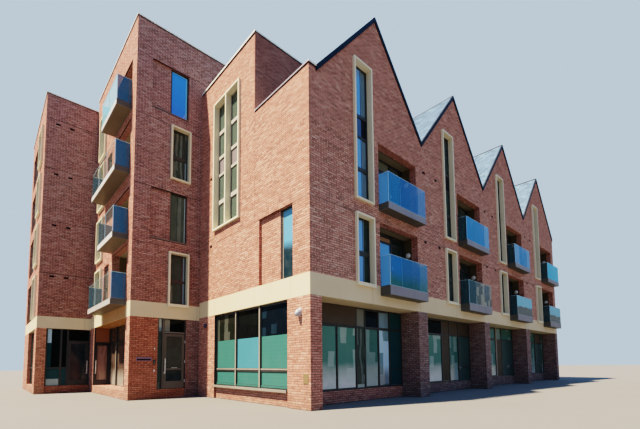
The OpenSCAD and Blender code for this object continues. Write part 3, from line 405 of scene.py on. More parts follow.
M = {
    "brick": brick("brick_red"),
    "brick_wing": brick("brick_deep_red", (0.92, 0.92, 0.96)),
    "band": metal_coat("band_champagne", (0.60, 0.51, 0.345), (0.64, 0.54, 0.375), 0.5, seam=3.06, streak=0.05, dirt_amt=0.05, spec=0.3,
                       porch_shade=(0.64, 0.42, 0.26)),
    "surround": metal_coat("surround_cream", (0.73, 0.68, 0.52), (0.68, 0.63, 0.48), 0.4, streak=0.05, dirt_amt=0.05, spec=0.35),
    "frame": metal_coat("frame_dark", (0.022, 0.025, 0.028), (0.032, 0.034, 0.037), 0.34, streak=0.08, dirt=(0.2, 0.19, 0.17)),
    # a lit copy of the dark frame colour, for frames on the sunny side: painted light
    "frame_lit_copy": metal_coat("frame_lit_copy", (0.20, 0.185, 0.165), (0.24, 0.22, 0.20), 0.34, streak=0.06),
    "frame_bronze": metal_coat("frame_bronze", (0.092, 0.080, 0.070), (0.108, 0.094, 0.083), 0.36, streak=0.06),
    "navy": metal_coat("trim_navy", (0.006, 0.008, 0.016), (0.010, 0.012, 0.021), 0.5, streak=0.04, dirt_amt=0.04, spec=0.2),
    "coping": metal_coat("coping_pale", (0.80, 0.79, 0.74), (0.75, 0.74, 0.70), 0.4, seam=2.5, streak=0.05),
    "coping_lilac": metal_coat("coping_lilac", (0.38, 0.33, 0.42), (0.34, 0.30, 0.38), 0.4, streak=0.05),
    "balcony": metal_coat("balcony_grey", (0.205, 0.195, 0.225), (0.235, 0.225, 0.25), 0.40, dirt=(0.1, 0.09, 0.08), seam=1.255),
    # shaded copy of the slab metal for soffits and end faces: painted shade
    "balcony_shade_copy": metal_coat("balcony_shade", (0.085, 0.085, 0.075), (0.100, 0.098, 0.088), 0.45, dirt=(0.05, 0.045, 0.04), spec=0.25),
    "balcony_under": metal_coat("balcony_under", (0.120, 0.098, 0.070), (0.145, 0.120, 0.085), 0.45, dirt=(0.06, 0.05, 0.04), spec=0.3),
    "olive": metal_coat("panel_olive", (0.095, 0.076, 0.044), (0.115, 0.092, 0.055), 0.45, seam=0.84, spec=0.25),
    "olive_light": metal_coat("soffit_olive", (0.230, 0.200, 0.140), (0.260, 0.225, 0.160), 0.45, spec=0.25),
    "olive_dark": metal_coat("panel_umber", (0.068, 0.052, 0.038), (0.080, 0.062, 0.046), 0.45, spec=0.25),
    "green": metal_coat("paint_green", (0.024, 0.066, 0.066), (0.030, 0.076, 0.076), 0.34, streak=0.06),
    "steel": metal_coat("steel_satin", (0.62, 0.63, 0.64), (0.55, 0.56, 0.57), 0.3, metallic=0.9, streak=0.05),
    "pull": metal_coat("pull_bright", (0.86, 0.86, 0.84), (0.80, 0.80, 0.79), 0.28, metallic=0.35, streak=0.03, dirt_amt=0.04),
    "glass": glass("glass_dark", (0.012, 0.024, 0.030), spec=0.4),
    "g_dim": glass("glass_dim", (0.046, 0.068, 0.060), ior=1.45, spec=0.12, patch=(0.15, 0.185, 0.17), patch_amt=0.8, wide=0.09, tall=3.0, share=0.35),
    "g_black": glass("glass_black", (0.004, 0.006, 0.007), ior=1.4, spec=0.10, dust_amt=0.008),
    "g_umber": glass("glass_umber", (0.010, 0.012, 0.010), ior=1.4, spec=0.10, dust_amt=0.008, patch=(0.095, 0.105, 0.095), wide=0.14, tall=4.0, share=0.3),
    "g_night": glass("glass_night", (0.003, 0.006, 0.011), ior=1.4, spec=0.12, dust_amt=0.008, patch=(0.014, 0.034, 0.056), wide=0.31, tall=0.33),
    "g_teal": glass("glass_teal", (0.012, 0.060, 0.070), ior=1.4, spec=0.2, dust_amt=0.02),
    "g_front": glass("glass_front", (0.085, 0.225, 0.190), fade=(0.600, 0.640, 0.640), ranges=(0.85, 1.6), ior=1.45, spec=0.5,
                     patch=(0.46, 0.56, 0.53), patch_amt=0.6, wide=0.33, tall=0.52, share=0.34),
    "g_sky": glass("glass_sky", (0.420, 0.620, 0.780), fade=(0.200, 0.250, 0.280), ranges=(1.0, 1.5), ior=1.45, spec=0.5,
                   patch=(0.05, 0.14, 0.15), patch_amt=0.85, wide=0.47, tall=0.85, share=0.22),
    "g_light": glass("glass_light", (0.170, 0.185, 0.170), ior=1.45, spec=0.2),
    "g_brown": glass("glass_brown", (0.270, 0.115, 0.058), ior=1.4, spec=0.15, dust_amt=0.03),
    "g_screen": glass("glass_screen", (0.062, 0.042, 0.034), ior=1.4, spec=0.15, fade=(0.250, 0.225, 0.205), ranges=(0.9, 1.45),
                      patch=(0.012, 0.010, 0.009), wide=0.34, tall=4.0, share=0.4),
    "g_porch": glass("glass_porch", (0.270, 0.160, 0.135), ior=1.45, spec=0.2, fade=(0.330, 0.260, 0.210), ranges=(0.9, 1.6),
                     patch=(0.15, 0.085, 0.07), wide=0.09, tall=4.0, share=0.4),
    "g_warm": glass("glass_warm", (0.060, 0.058, 0.048), ior=1.45, spec=0.2, fade=(0.016, 0.022, 0.029), ranges=(1.15, 1.5)),
    "g_cyan": glass("glass_cyan", (0.160, 0.520, 0.820), spec=0.6),
    "g_haze": glass("glass_haze", (0.075, 0.160, 0.235), spec=0.6),
    "g_strip": glass("glass_strip", (0.140, 0.230, 0.300), spec=0.5),
    "g_blue": glass("glass_sky_blue", (0.100, 0.300, 0.700)),
    "g_deep": glass("glass_deep_blue", (0.022, 0.260, 0.950), fade=(0.022, 0.170, 0.940), ranges=(12.8, 14.5), dust_amt=0.03),
    "g_pale": glass("glass_pale_blue", (0.060, 0.330, 0.860), dust_amt=0.04),
    "g_spandrel": glass("glass_spandrel", (0.030, 0.052, 0.150), spec=0.4),
    "g_grey": glass("glass_grey_green", (0.060, 0.085, 0.075), ior=1.45, spec=0.3),
    "g_lilac": glass("glass_lilac", (0.190, 0.165, 0.185), ior=1.45, spec=0.3),
    "g_green": glass("glass_bottle_green", (0.014, 0.038, 0.036), ior=1.45, spec=0.3),
    "g_shop": glass("glass_shop", (0.048, 0.150, 0.130), fade=(0.300, 0.370, 0.370), ranges=(0.8, 1.6), ior=1.45, spec=0.5,
                    patch=(0.30, 0.40, 0.39), patch_amt=0.55, wide=0.3, tall=0.55, share=0.3),
    "g_two": glass("glass_sky_over_dark", (0.090, 0.280, 0.480), fade=(0.008, 0.020, 0.027), ranges=(5.3, 5.62), ior=1.45, spec=0.3),
    "film": film("film_green", (0.034, 0.128, 0.118), (0.042, 0.136, 0.124)),
    "film_blue": film("film_blue", (0.048, 0.180, 0.245), (0.054, 0.190, 0.258)),
    "guard": glass("guard_blue", (0.024, 0.290, 0.720), 0.02, alpha=0.42, wave=0.004, dust_amt=0.02, ior=1.5, spec=0.6),
    "guard_mid": glass("guard_deep", (0.018, 0.190, 0.560), 0.02, alpha=0.50, wave=0.004, dust_amt=0.02, ior=1.5, spec=0.6),
    "guard_right": glass("guard_lilac", (0.130, 0.320, 0.660), 0.02, alpha=0.50, wave=0.004, dust_amt=0.03, ior=1.5, spec=0.6),
    "guard_mid_low": glass("guard_deep_teal", (0.020, 0.230, 0.580), 0.02, alpha=0.46, wave=0.004, dust_amt=0.02, ior=1.5, spec=0.6,
                           fade=(0.022, 0.190, 0.220), ranges=(4.45, 4.95)),
    "guard_right_low": glass("guard_lilac_teal", (0.080, 0.310, 0.560), 0.02, alpha=0.44, wave=0.004, dust_amt=0.03, ior=1.5, spec=0.6,
                             fade=(0.050, 0.260, 0.270), ranges=(4.45, 4.95)),
    "guard_far_a": glass("guard_far_blue", (0.026, 0.300, 0.760), 0.02, alpha=0.58, wave=0.004, dust_amt=0.02, ior=1.5, spec=0.6),
    "guard_far_b": glass("guard_far_pale", (0.180, 0.430, 0.820), 0.02, alpha=0.66, wave=0.004, dust_amt=0.03, ior=1.5, spec=0.6),
    "guard_far_c": glass("guard_far_sky", (0.055, 0.600, 0.990), 0.02, alpha=0.72, wave=0.004, dust_amt=0.03, ior=1.5, spec=0.6),
    "guard_smoke": glass("guard_smoke", (0.040, 0.105, 0.130), 0.02, alpha=0.55, wave=0.004, dust_amt=0.02, ior=1.5, spec=0.4),
    "guard_town": glass("guard_town", (0.130, 0.170, 0.165), 0.02, alpha=0.60, wave=0.004, dust_amt=0.03, ior=1.5, spec=0.4,
                        patch=(0.46, 0.47, 0.39), patch_amt=0.9, wide=0.21, tall=0.42, share=0.5),
    "guard_split": glass("guard_split", (0.250, 0.620, 0.840), 0.02, alpha=0.80, wave=0.004, dust_amt=0.03, ior=1.5, spec=0.4,
                         fade=(0.150, 0.160, 0.140), ranges=(4.78, 4.86)),
    "guard_top": glass("guard_sky", (0.270, 0.640, 0.820), 0.02, alpha=0.50, wave=0.004, dust_amt=0.04, ior=1.5, spec=0.5),
    "guard_low": glass("guard_teal", (0.020, 0.280, 0.780), 0.02, alpha=0.42, wave=0.004, dust_amt=0.02, ior=1.5, spec=0.6,
                       fade=(0.040, 0.240, 0.250), ranges=(4.5, 4.9)),
    "guard_side": glass("guard_pale", (0.150, 0.520, 1.000), 0.02, alpha=0.66, wave=0.004, dust_amt=0.02, ior=1.5, spec=0.6),
    "guard_end": glass("guard_navy", (0.040, 0.150, 0.280), 0.02, alpha=0.66, wave=0.004, dust_amt=0.02, ior=1.5, spec=0.4),
    "guard_clear": glass("guard_clear", (0.060, 0.120, 0.125), 0.02, alpha=0.16, wave=0.004, dust_amt=0.04, ior=1.5),
    "guard_joint": glass("guard_joint", (0.16, 0.40, 0.62), 0.15, wave=0.0, dust_amt=0.02),
    "guard_edge": glass("guard_edge", (0.50, 0.74, 0.86), 0.15, wave=0.0, dust_amt=0.02),
    "lamp": plain("lamp_opal", (0.33, 0.36, 0.42), (0.30, 0.33, 0.385), 0.3, 5.0, 0.03, 0.6),
    "lamp_white": plain("lamp_bright", (0.78, 0.80, 0.80), (0.74, 0.76, 0.76), 0.3, 5.0, 0.03, 0.6),
    "lamp_blue": plain("lamp_navy", (0.020, 0.030, 0.075), (0.025, 0.036, 0.085), 0.3, 5.0, 0.03, 0.6),
    "concrete": plain("concrete", (0.36, 0.345, 0.32), (0.28, 0.27, 0.25)),
    "membrane": plain("membrane", (0.17, 0.175, 0.18), (0.21, 0.215, 0.22), 0.8, 1.5, lap=1.05),
    "slate": slate("slate_blue"),
    "seal": plain("joint_seal", (0.060, 0.034, 0.030), (0.048, 0.028, 0.026), 0.7, 8.0, 0.1),
    "wood": boards("soffit_boards", (0.37, 0.185, 0.052), (0.43, 0.222, 0.068)),
    "lead": metal_coat("gutter_lead", (0.26, 0.28, 0.30), (0.32, 0.34, 0.36), 0.5, streak=0.2, dirt=(0.14, 0.14, 0.13)),
    "plate": plain("plate_olive", (0.165, 0.115, 0.062), (0.190, 0.135, 0.075), 0.45, 12.0, 0.05),
    "white": plain("gloss_white", (0.72, 0.72, 0.70), (0.66, 0.66, 0.64), 0.35, 8.0, 0.03),
    "black": plain("vent_black", (0.005, 0.005, 0.006), (0.009, 0.009, 0.009), 0.6, 12.0, 0.05, 0.1),
    "purple": metal_coat("slot_purple", (0.200, 0.120, 0.185), (0.230, 0.140, 0.21), 0.35),
    "bar_olive": plain("light_olive", (0.15, 0.165, 0.125), (0.17, 0.185, 0.14), 0.4, 4.0, 0.03, 0.3),
    "slab_edge": metal_coat("slab_edge", (0.37, 0.35, 0.35), (0.41, 0.39, 0.385), 0.36, streak=0.06),
    "slab_white": metal_coat("slab_edge_pale", (0.58, 0.57, 0.57), (0.54, 0.53, 0.53), 0.36, streak=0.06),
    # a pale lit colour for the tops of transoms: painted light
    "bar_lit_copy": metal_coat("bar_lit_copy", (0.42, 0.40, 0.37), (0.46, 0.44, 0.41), 0.35, streak=0.05),
    "mullion_clay": metal_coat("mullion_clay", (0.30, 0.24, 0.20), (0.33, 0.27, 0.225), 0.4, streak=0.05),
    "render_grey": plain("ledge_grey", (0.23, 0.17, 0.14), (0.20, 0.145, 0.12), 0.8, 6.0, 0.2),
    "render": plain("render_warm", (0.34, 0.22, 0.15), (0.30, 0.19, 0.13), 0.7, 3.0, 0.15),
}


def paint(node, key):
    o = NODES[node]
    o.data.materials.clear()
    o.data.materials.append(M[key])


for n in ("ground_piers", "shop_plinths", "corner_wall", "street_wall", "front_spandrels", "tower_wall", "wing_front_wall",
          "wing_side_wall", "wing_spandrels", "back_walls", "back_spandrels", "end_walls"):
    paint(n, "brick_wing" if n.startswith("wing") else "brick")
for n, k in (("storey_band", "band"), ("floor_slabs", "concrete"), ("wing_floors", "concrete"), ("flat_roofs", "membrane"),
             ("west_slopes", "slate"), ("east_slopes", "slate"), ("roof_trims", "navy"), ("copings", "coping"),
             ("window_jambs", "surround"), ("window_heads", "surround"), ("window_glass", "glass"), ("shop_mullions", "frame"),
             ("shop_transoms", "frame"), ("shop_glass", "g_shop"), ("recess_cheeks", "olive"), ("recess_soffits", "olive_light"),
             ("recess_screens", "g_green"), ("balcony_slabs", "balcony"), ("balcony_glass", "guard"), ("wall_lamps", "lamp"),
             ("entrance_door", "frame_bronze"), ("entrance_glass", "g_warm"), ("entrance_pull", "pull"), ("porch_door", "frame"),
             ("porch_glass", "g_porch"), ("porch_pull", "pull"), ("shop_door", "frame"), ("shop_door_glass", "glass"),
             ("shop_door_pull", "pull"), ("green_door_a", "green"), ("green_door_b", "green"), ("green_door_c", "green"),
             ("green_door_d", "green")):
    paint(n, k)

# ------------------------------------------------------------------ mesh building

MADE = []


class Build:
    """One joined piece, gathered bar by bar in metres from the street corner."""

    def __init__(self, name, keys, slot, body="block"):
        self.name, self.keys, self.slot, self.body = name, list(keys), slot, body
        self.v, self.f, self.mi, self.sm = [], [], [], []

    def add(self, verts, faces, m=0, smooth=False):
        k = len(self.v)
        self.v += [(x - OX, y - OY, z) for x, y, z in verts]
        self.f += [tuple(i + k for i in f) for f in faces]
        self.mi += [m] * len(faces)
        self.sm += [smooth] * len(faces)

    def box(self, x0, x1, y0, y1, z0, z1, m=0, c=0.003):
        """A bar with every arris eased by c."""
        if x1 < x0: x0, x1 = x1, x0
        if y1 < y0: y0, y1 = y1, y0
        if z1 < z0: z0, z1 = z1, z0
        c = min(c, (x1 - x0) * 0.3, (y1 - y0) * 0.3, (z1 - z0) * 0.3)
        X, Y, Z = (x0, x1), (y0, y1), (z0, z1)
        s = (c, -c)
        verts, idx = [], {}
        for a in (0, 1):
            for b in (0, 1):
                for d in (0, 1):
                    for ax in (0, 1, 2):
                        p = [X[a], Y[b], Z[d]]
                        ins = [s[a], s[b], s[d]]
                        for k in range(3):
                            if k != ax:
                                p[k] += ins[k]
                        idx[(a, b, d, ax)] = len(verts)
                        verts.append(tuple(p))
        F = []

        def quad(ax, val):
            o = [k for k in range(3) if k != ax]
            ring = []
            for p, q in ((0, 0), (1, 0), (1, 1), (0, 1)):
                key = [0, 0, 0]
                key[ax] = val
                key[o[0]], key[o[1]] = p, q
                ring.append(idx[(*key, ax)])
            flip = (val == 0) ^ (ax == 1)
            F.append(tuple(reversed(ring)) if flip else tuple(ring))

        for ax in range(3):
            quad(ax, 0)
            quad(ax, 1)
        # eased edges: between faces ax and bx, along the third axis
        for ax, bx in ((0, 1), (0, 2), (1, 2)):
            cx = 3 - ax - bx
            for p in (0, 1):
                for q in (0, 1):
                    k0, k1 = [0, 0, 0], [0, 0, 0]
                    k0[ax] = k1[ax] = p
                    k0[bx] = k1[bx] = q
                    k1[cx] = 1
                    ring = [idx[(*k0, ax)], idx[(*k1, ax)], idx[(*k1, bx)], idx[(*k0, bx)]]
                    sgn = (1 if p else -1) * (1 if q else -1) * (-1 if (ax, bx) == (0, 2) else 1)
                    F.append(tuple(ring) if sgn < 0 else tuple(reversed(ring)))
        for a in (0, 1):
            for b in (0, 1):
                for d in (0, 1):
                    ring = (idx[(a, b, d, 0)], idx[(a, b, d, 1)], idx[(a, b, d, 2)])
                    odd = (a + b + d) % 2
                    F.append(ring if odd else tuple(reversed(ring)))
        self.add(verts, F, m)

    def on(self, side, face, u0, u1, d0, d1, z0, z1, m=0, c=0.003):
        """A bar on an upright face: u along it, d inward from it."""
        if side == "S":
            self.box(u0, u1, face + d0, face + d1, z0, z1, m, c)
        elif side == "N":
            self.box(u0, u1, face - d1, face - d0, z0, z1, m, c)
        elif side == "W":
            self.box(face + d0, face + d1, u0, u1, z0, z1, m, c)
        else:
            self.box(face - d1, face - d0, u0, u1, z0, z1, m, c)

    def ring(self, side, face, u0, u1, d0, d1, z0, z1, w, m=0, c=0.003, sill=None):
        s = w if sill is None else sill
        self.on(side, face, u0, u0 + w, d0, d1, z0, z1, m, c)
        self.on(side, face, u1 - w, u1, d0, d1, z0, z1, m, c)
        self.on(side, face, u0 + w, u1 - w, d0, d1, z0, z0 + s, m, c)
        self.on(side, face, u0 + w, u1 - w, d0, d1, z1 - w, z1, m, c)

    def lathe(self, side, face, u, z, prof, m=0, seg=28, sz=1.0, m2=None, drop=0.0):
        """Turned form standing out of a face: prof is (radius, stand-out) from the rim to the crown."""
        vs, fs = [], []
        for r, h in prof:
            for k in range(seg):
                a = 2 * math.pi * k / seg
                uu, zz = u + r * math.cos(a), z + sz * r * math.sin(a) - drop * h
                if side == "S":
                    vs.append((uu, face - h, zz))
                elif side == "W":
                    vs.append((face - h, -(uu - u) + u, zz))
        for j in range(len(prof) - 1):
            for k in range(seg):
                a, b = j * seg + k, j * seg + (k + 1) % seg
                fs.append((a, b, b + seg, a + seg))
        n = len(prof)
        fs.append(tuple(range((n - 1) * seg, n * seg)))
        self.add(vs, fs, m, True)

    def make(self, replaces=()):
        me = bpy.data.meshes.new(self.name)
        me.from_pydata(self.v, [], self.f)
        for k in self.keys:
            me.materials.append(M[k])
        me.polygons.foreach_set("material_index", self.mi)
        me.polygons.foreach_set("use_smooth", self.sm)
        me.validate()
        me.update()
        ob = bpy.data.objects.new(self.name, me)
        bpy.context.scene.collection.objects.link(ob)
        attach(ob, self.body)
        if replaces:
            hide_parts(*replaces)
        MADE.append(ob)
        return ob


BAY = 6.12
BAYS = range(4)
WX0, WX1, LX0, LX1 = 2.065, 3.05, 3.42, 5.93

# ------------------------------------------------------------------ window frames

fr = Build("window_frames", ["frame", "frame_lit_copy", "g_blue", "g_spandrel", "g_grey", "g_lilac", "g_green", "g_deep", "g_two",
                             "g_pale", "g_dim", "g_haze", "g_strip", "navy", "bar_lit_copy", "g_cyan", "render_grey"], "dark_frame")
FD, F_LIT = 0, 1


def light(side, face, u0, u1, z0, z1, d, m, mf=FD, w=0.045, sash=True):
    """One light of a window: its sash ring and its pane."""
    if sash:
        fr.ring(side, face, u0, u1, d - 0.02, d + 0.006, z0, z1, w, mf)
    fr.on(side, face, u0 + (w if sash else 0), u1 - (w if sash else 0), d - 0.006, d + 0.004, z0 + (w if sash else 0),
          z1 - (w if sash else 0), m, 0.001)


for i in BAYS:
    o = i * BAY
    a, b = WX0 + 0.07 + o, WX1 - 0.07 + o
    # tall window: four lights and a dark spandrel pane; the pane colours are painted reflections, a blue pane beside a
    # greener one
    for z0, z1 in ((7.12, 12.16), (4.14, 6.50)):
        fr.ring("S", 0, a, b, 0.135, 0.215, z0, z1, 0.05, FD)
    for z0, z1 in ((8.23, 8.36), (9.465, 9.54), (10.22, 10.335)):
        fr.on("S", 0, a + 0.05, b - 0.05, 0.135, 0.215, z0, z1, FD)
    fr.on("S", 0, a + 0.05, b - 0.05, 0.135, 0.215, 5.15, 5.30, FD)
    sp = a + 0.52 - 0.035 * i
    for z0, z1 in ((7.17, 8.23), (8.36, 9.465), (10.335, 12.11), (4.19, 5.15), (5.30, 6.45)):
        light("S", 0, a + 0.05, sp, z0, z1, 0.168, 2 if i == 0 else 4, w=0.018)
        low = z1 < 7
        light("S", 0, sp + 0.004, b - 0.05, z0, z1, 0.168, 6 if low or i else 11, w=0.03)
        # the sash stile catches the light
        fr.on("S", 0, sp - 0.012, sp + 0.016, 0.140, 0.166, z0 + 0.01, z1 - 0.01, 12 if i == 0 else FD)
    light("S", 0, a + 0.05, sp, 9.54, 10.22, 0.168, 3, sash=False)
    light("S", 0, sp, b - 0.05, 9.54, 10.22, 0.168, 13, sash=False)

# pair of tall windows in the square front: frames in the lit copy of the frame colour (painted light), panes in painted
# reflection
for a, b in ((4.175, 5.135), (5.21, 6.17)):
    fr.ring("W", 0, a, b, 0.135, 0.215, 7.13, 12.69, 0.05, F_LIT)
    for z0, z1 in ((8.18, 8.43), (9.456, 9.60), (10.21, 10.40), (11.32, 11.54)):
        # painted light: the upper part of each transom face is pale as if lit, the set-back strip below it dark
        zm = z0 + (z1 - z0) * 0.28
        fr.on("W", 0, a + 0.05, b - 0.05, 0.125, 0.205, zm, z1, 14)
        fr.on("W", 0, a + 0.05, b - 0.05, 0.150, 0.205, z0, zm - 0.003, FD)
    for z0, z1, m in ((7.18, 8.18, 4), (8.43, 9.456, 4), (9.60, 10.21, 5), (10.40, 11.32, 4), (11.54, 12.64, 4)):
        fr.on("W", 0, a + 0.05, b - 0.05, 0.160, 0.172, z0, z1, m, 0.001)
        fr.on("W", 0, b - 0.10, b - 0.05, 0.140, 0.160, z0, z1, FD)
# plain window beside the recessed panel in the square front, one stile in the lit copy of the frame colour (painted
# light), its pane a painted reflection
fr.ring("W", 0, 0.83, 1.60, 0.12, 0.215, 4.14, 6.55, 0.055, FD)
fr.on("W", 0, 1.50, 1.545, 0.145, 0.205, 4.20, 6.49, F_LIT)
fr.on("W", 0, 0.885, 1.50, 0.160, 0.172, 4.195, 6.495, 8, 0.001)

# middle block front: painted reflections in the panes, painted highlight strips on the frames
MY = 7.62
for z0, z1, t0, t1 in ((3.98, 6.19, 4.95, 5.06), (9.57, 11.88, 10.53, 10.67)):
    fr.ring("S", MY, -1.35, -0.60, 0.135, 0.215, z0, z1, 0.055, FD)
    fr.on("S", MY, -1.295, -0.655, 0.135, 0.205, t0, t1, FD)
    light("S", MY, -1.295, -0.76, t1, z1 - 0.055, 0.168, 10, w=0.045)
    light("S", MY, -1.295, -0.76, z0 + 0.055, t0, 0.168, 10, w=0.03)
    fr.on("S", MY, -0.755, -0.725, 0.140, 0.205, z0 + 0.055, z1 - 0.055, FD)
    fr.on("S", MY, -0.722, -0.655, 0.155, 0.172, z0 + 0.055, t0 if z0 > 5 else z1 - 0.055, 12, 0.001)
    if z0 > 5:
        fr.on("S", MY, -0.722, -0.655, 0.150, 0.172, t1, z1 - 0.055, 10, 0.001)
# plain ones, also with painted reflections in the panes and painted highlight strips on the frames
fr.ring("S", MY, -1.35, -0.63, 0.10, 0.20, 6.75, 8.90, 0.05, FD)
for u0, u1, m in ((-1.30, -1.07, 4), (-1.07, -0.86, 10), (-0.86, -0.73, 4)):
    fr.on("S", MY, u0, u1, 0.128, 0.148, 6.80, 8.85, m, 0.001)
fr.on("S", MY, -0.725, -0.68, 0.118, 0.148, 6.80, 8.85, 12, 0.002)
fr.ring("S", MY, -1.43, -0.635, 0.10, 0.20, 12.495, 14.61, 0.05, FD)
fr.on("S", MY, -1.38, -0.755, 0.128, 0.148, 12.545, 14.52, 7, 0.001)
fr.on("S", MY, -1.38, -0.685, 0.124, 0.148, 14.522, 14.56, 15, 0.002)
fr.on("S", MY, -0.752, -0.690, 0.118, 0.148, 12.545, 14.52, 15, 0.002)
# ledges under the recessed panels, with a dark bar below as painted shadow
for u0, u1, z in ((-2.232, -0.64, 12.495), (-2.197, -0.635, 6.75)):
    fr.on("S", MY, u0, u1, -0.014, 0.098, z - 0.040, z - 0.003, 16)
    fr.on("S", MY, u0, u1, -0.004, 0.03, z - 0.080, z - 0.041, FD)

# sides of the middle and rear blocks: frames in the lit copy of the frame colour (painted light), panes in painted
# reflection
for k, (z0, z1) in enumerate(((3.98, 6.17), (6.77, 8.83), (9.52, 11.78), (12.32, 14.54))):
    fr.ring("W", -2.875, 12.64, 13.76, 0.135, 0.215, z0, z1, 0.055, F_LIT)
    fr.on("W", -2.875, 12.695, 13.705, 0.135, 0.205, z0 + 0.95, z0 + 1.05, F_LIT)
    fr.on("W", -2.875, 12.695, 13.705, 0.160, 0.172, z0 + 1.05, z1 - 0.055, 4, 0.001)
    fr.on("W", -2.875, 12.695, 13.705, 0.160, 0.172, z0 + 0.055, z0 + 0.95, 6, 0.001)
for z0, z1 in ((4.08, 6.24), (9.68, 11.85)):
    fr.ring("W", -2.875, 11.30, 12.20, 0.13, 0.215, z0, z1, 0.06, F_LIT)
    fr.ring("W", -2.875, 11.36, 12.14, 0.115, 0.168, z0 + 0.06, z1 - 0.06, 0.075, F_LIT)
    fr.on("W", -2.875, 12.02, 12.06, 0.075, 0.115, z0 + 0.95, z0 + 1.10, FD)
for k, (z0, z1) in enumerate(((3.885, 6.03), (6.77, 8.78), (9.57, 11.55), (12.37, 14.23))):
    fr.ring("W", -5.215, 15.67, 16.93, 0.135, 0.215, z0, z1, 0.055, F_LIT)
    fr.on("W", -5.215, 15.725, 16.875, 0.135, 0.205, z0 + 0.95, z0 + 1.05, F_LIT)
for z0, z1 in ((3.885, 6.10), (6.70, 8.85), (9.50, 11.62), (12.30, 14.30)):
    fr.ring("W", -5.215, 17.80, 20.60, 0.12, 0.215, z0, z1, 0.06, F_LIT)
    for u in (18.70, 19.65):
        fr.on("W", -5.215, u, u + 0.06, 0.12, 0.215, z0 + 0.06, z1 - 0.06, F_LIT)
fr.make()

# hidden sides: frames and projecting sills
hf = Build("rear_window_frames", ["frame", "surround"], "dark_frame")


def rear_window(side, face, u0, u1, z0, z1, sill=True):
    hf.ring(side, face, u0, u1, 0.06, 0.15, z0, z1, 0.055, 0)
    um = u0 + (u1 - u0) * 0.42
    hf.on(side, face, um, um + 0.06, 0.06, 0.15, z0 + 0.055, z1 - 0.055, 0)
    hf.on(side, face, um + 0.06, u1 - 0.055, 0.06, 0.15, z0 + 0.85, z0 + 0.91, 0)
    hf.ring(side, face, um + 0.065, u1 - 0.06, 0.05, 0.09, z0 + 0.915, z1 - 0.06, 0.04, 0)
    if sill:
        hf.on(side, face, u0 - 0.06, u1 + 0.06, -0.026, 0.05, z0 - 0.055, z0 - 0.004, 1, 0.006)


for i in (1, 2, 3):
    o = 0.3 + i * BAY
    for u0, u1 in ((o + 1.0, o + 2.2), (o + 3.9, o + 5.1)):
        for z0, z1 in ((1.30, 3.44), (4.70, 6.55), (7.70, 9.57)):
            rear_window("N", 10.2, u0, u1, z0, z1)
FLR = [3.885, 6.70, 9.50, 12.30]
HED = [6.10, 8.85, 11.62, 14.30]
for k in range(5):
    z0, z1 = (1.30, 3.29) if k == 0 else (FLR[k - 1] + 0.5, HED[k - 1])
    for u0, u1 in ((-4.0, -2.8), (-0.8, 0.4), (2.4, 3.6)):
        rear_window("N", 21.46, u0, u1, z0, z1)
    for u0, u1 in ((11.4, 12.6), (14.6, 15.8), (17.8, 19.0)):
        rear_window("E", 6.42, u0, u1, z0, z1)
for u0, u1 in ((2.8, 4.0), (6.2, 7.4)):
    for z0, z1 in ((4.70, 6.55), (7.70, 9.57)):
        rear_window("E", 24.83, u0, u1, z0, z1, False)
hf.make()

# ------------------------------------------------------------------ street balcony recesses

rs = Build("recess_frames", ["frame", "g_pale", "g_grey", "g_green", "olive", "render", "guard_edge", "bar_olive"], "dark_frame")
for i in BAYS:
    o = i * BAY
    L, R = LX0 + o, LX1 + o
    for base, head, pane_top, up0, up1 in ((7.16, 9.60, 9.03, 9.17, 9.53), (4.14, 6.55, 6.16, 6.23, 6.40)):
        D0, D1 = 0.655, 0.718
        rs.on("S", 0, L, L + 0.05, D0, D1, base, head, 0)
        rs.on("S", 0, R - 0.05, R, D0, D1, base, head, 0)
        rs.on("S", 0, L + 1.53, L + 1.61, D0, D1, base, head, 0)
        rs.on("S", 0, R - 0.24, R - 0.18, D0, D1, base, head, 0)
        rs.on("S", 0, L + 0.05, R - 0.05, D0, D1, base, base + 0.09, 0)
        rs.on("S", 0, L + 0.05, L + 1.53, D0, D1, pane_top, up0, 0)
        rs.on("S", 0, L + 1.61, R - 0.24, D0, D1, pane_top, up0, 0)
        rs.on("S", 0, L + 0.05, R - 0.05, D0, D1, up1, head, 0)
        # painted reflections: left pane bright, the next one deeper
        rs.on("S", 0, L + 0.05, L + 1.53, 0.695, 0.712, base + 0.09, pane_top, 1 if i == 0 else 3, 0.001)
        rs.ring("S", 0, L + 1.62, R - 0.25, 0.672, 0.705, base + 0.09, pane_top, 0.055, 0)
        rs.on("S", 0, L + 1.675, R - 0.305, 0.695, 0.712, base + 0.145, pane_top - 0.055, 3, 0.001)
        if base > 5:
            rs.on("S", 0, L + 0.05, L + 1.53, 0.690, 0.712, up0, up1, 7, 0.001)
            rs.on("S", 0, L + 1.61, R - 0.24, 0.690, 0.712, up0, up1, 2, 0.001)
        else:
            rs.on("S", 0, L + 0.05, L + 1.53, 0.680, 0.712, up0, up1, 5, 0.002)
            rs.on("S", 0, L + 1.61, R - 0.24, 0.690, 0.712, up0, up1, 3, 0.001)
        # lever and its plate
        rs.on("S", 0, L + 1.635, L + 1.655, 0.640, 0.675, base + 1.00, base + 1.16, 6, 0.003)
        # soffit trim along the recess mouth
        rs.on("S", 0, L, R, 0.305, 0.330, head - 0.012, head + 0.002, 4)
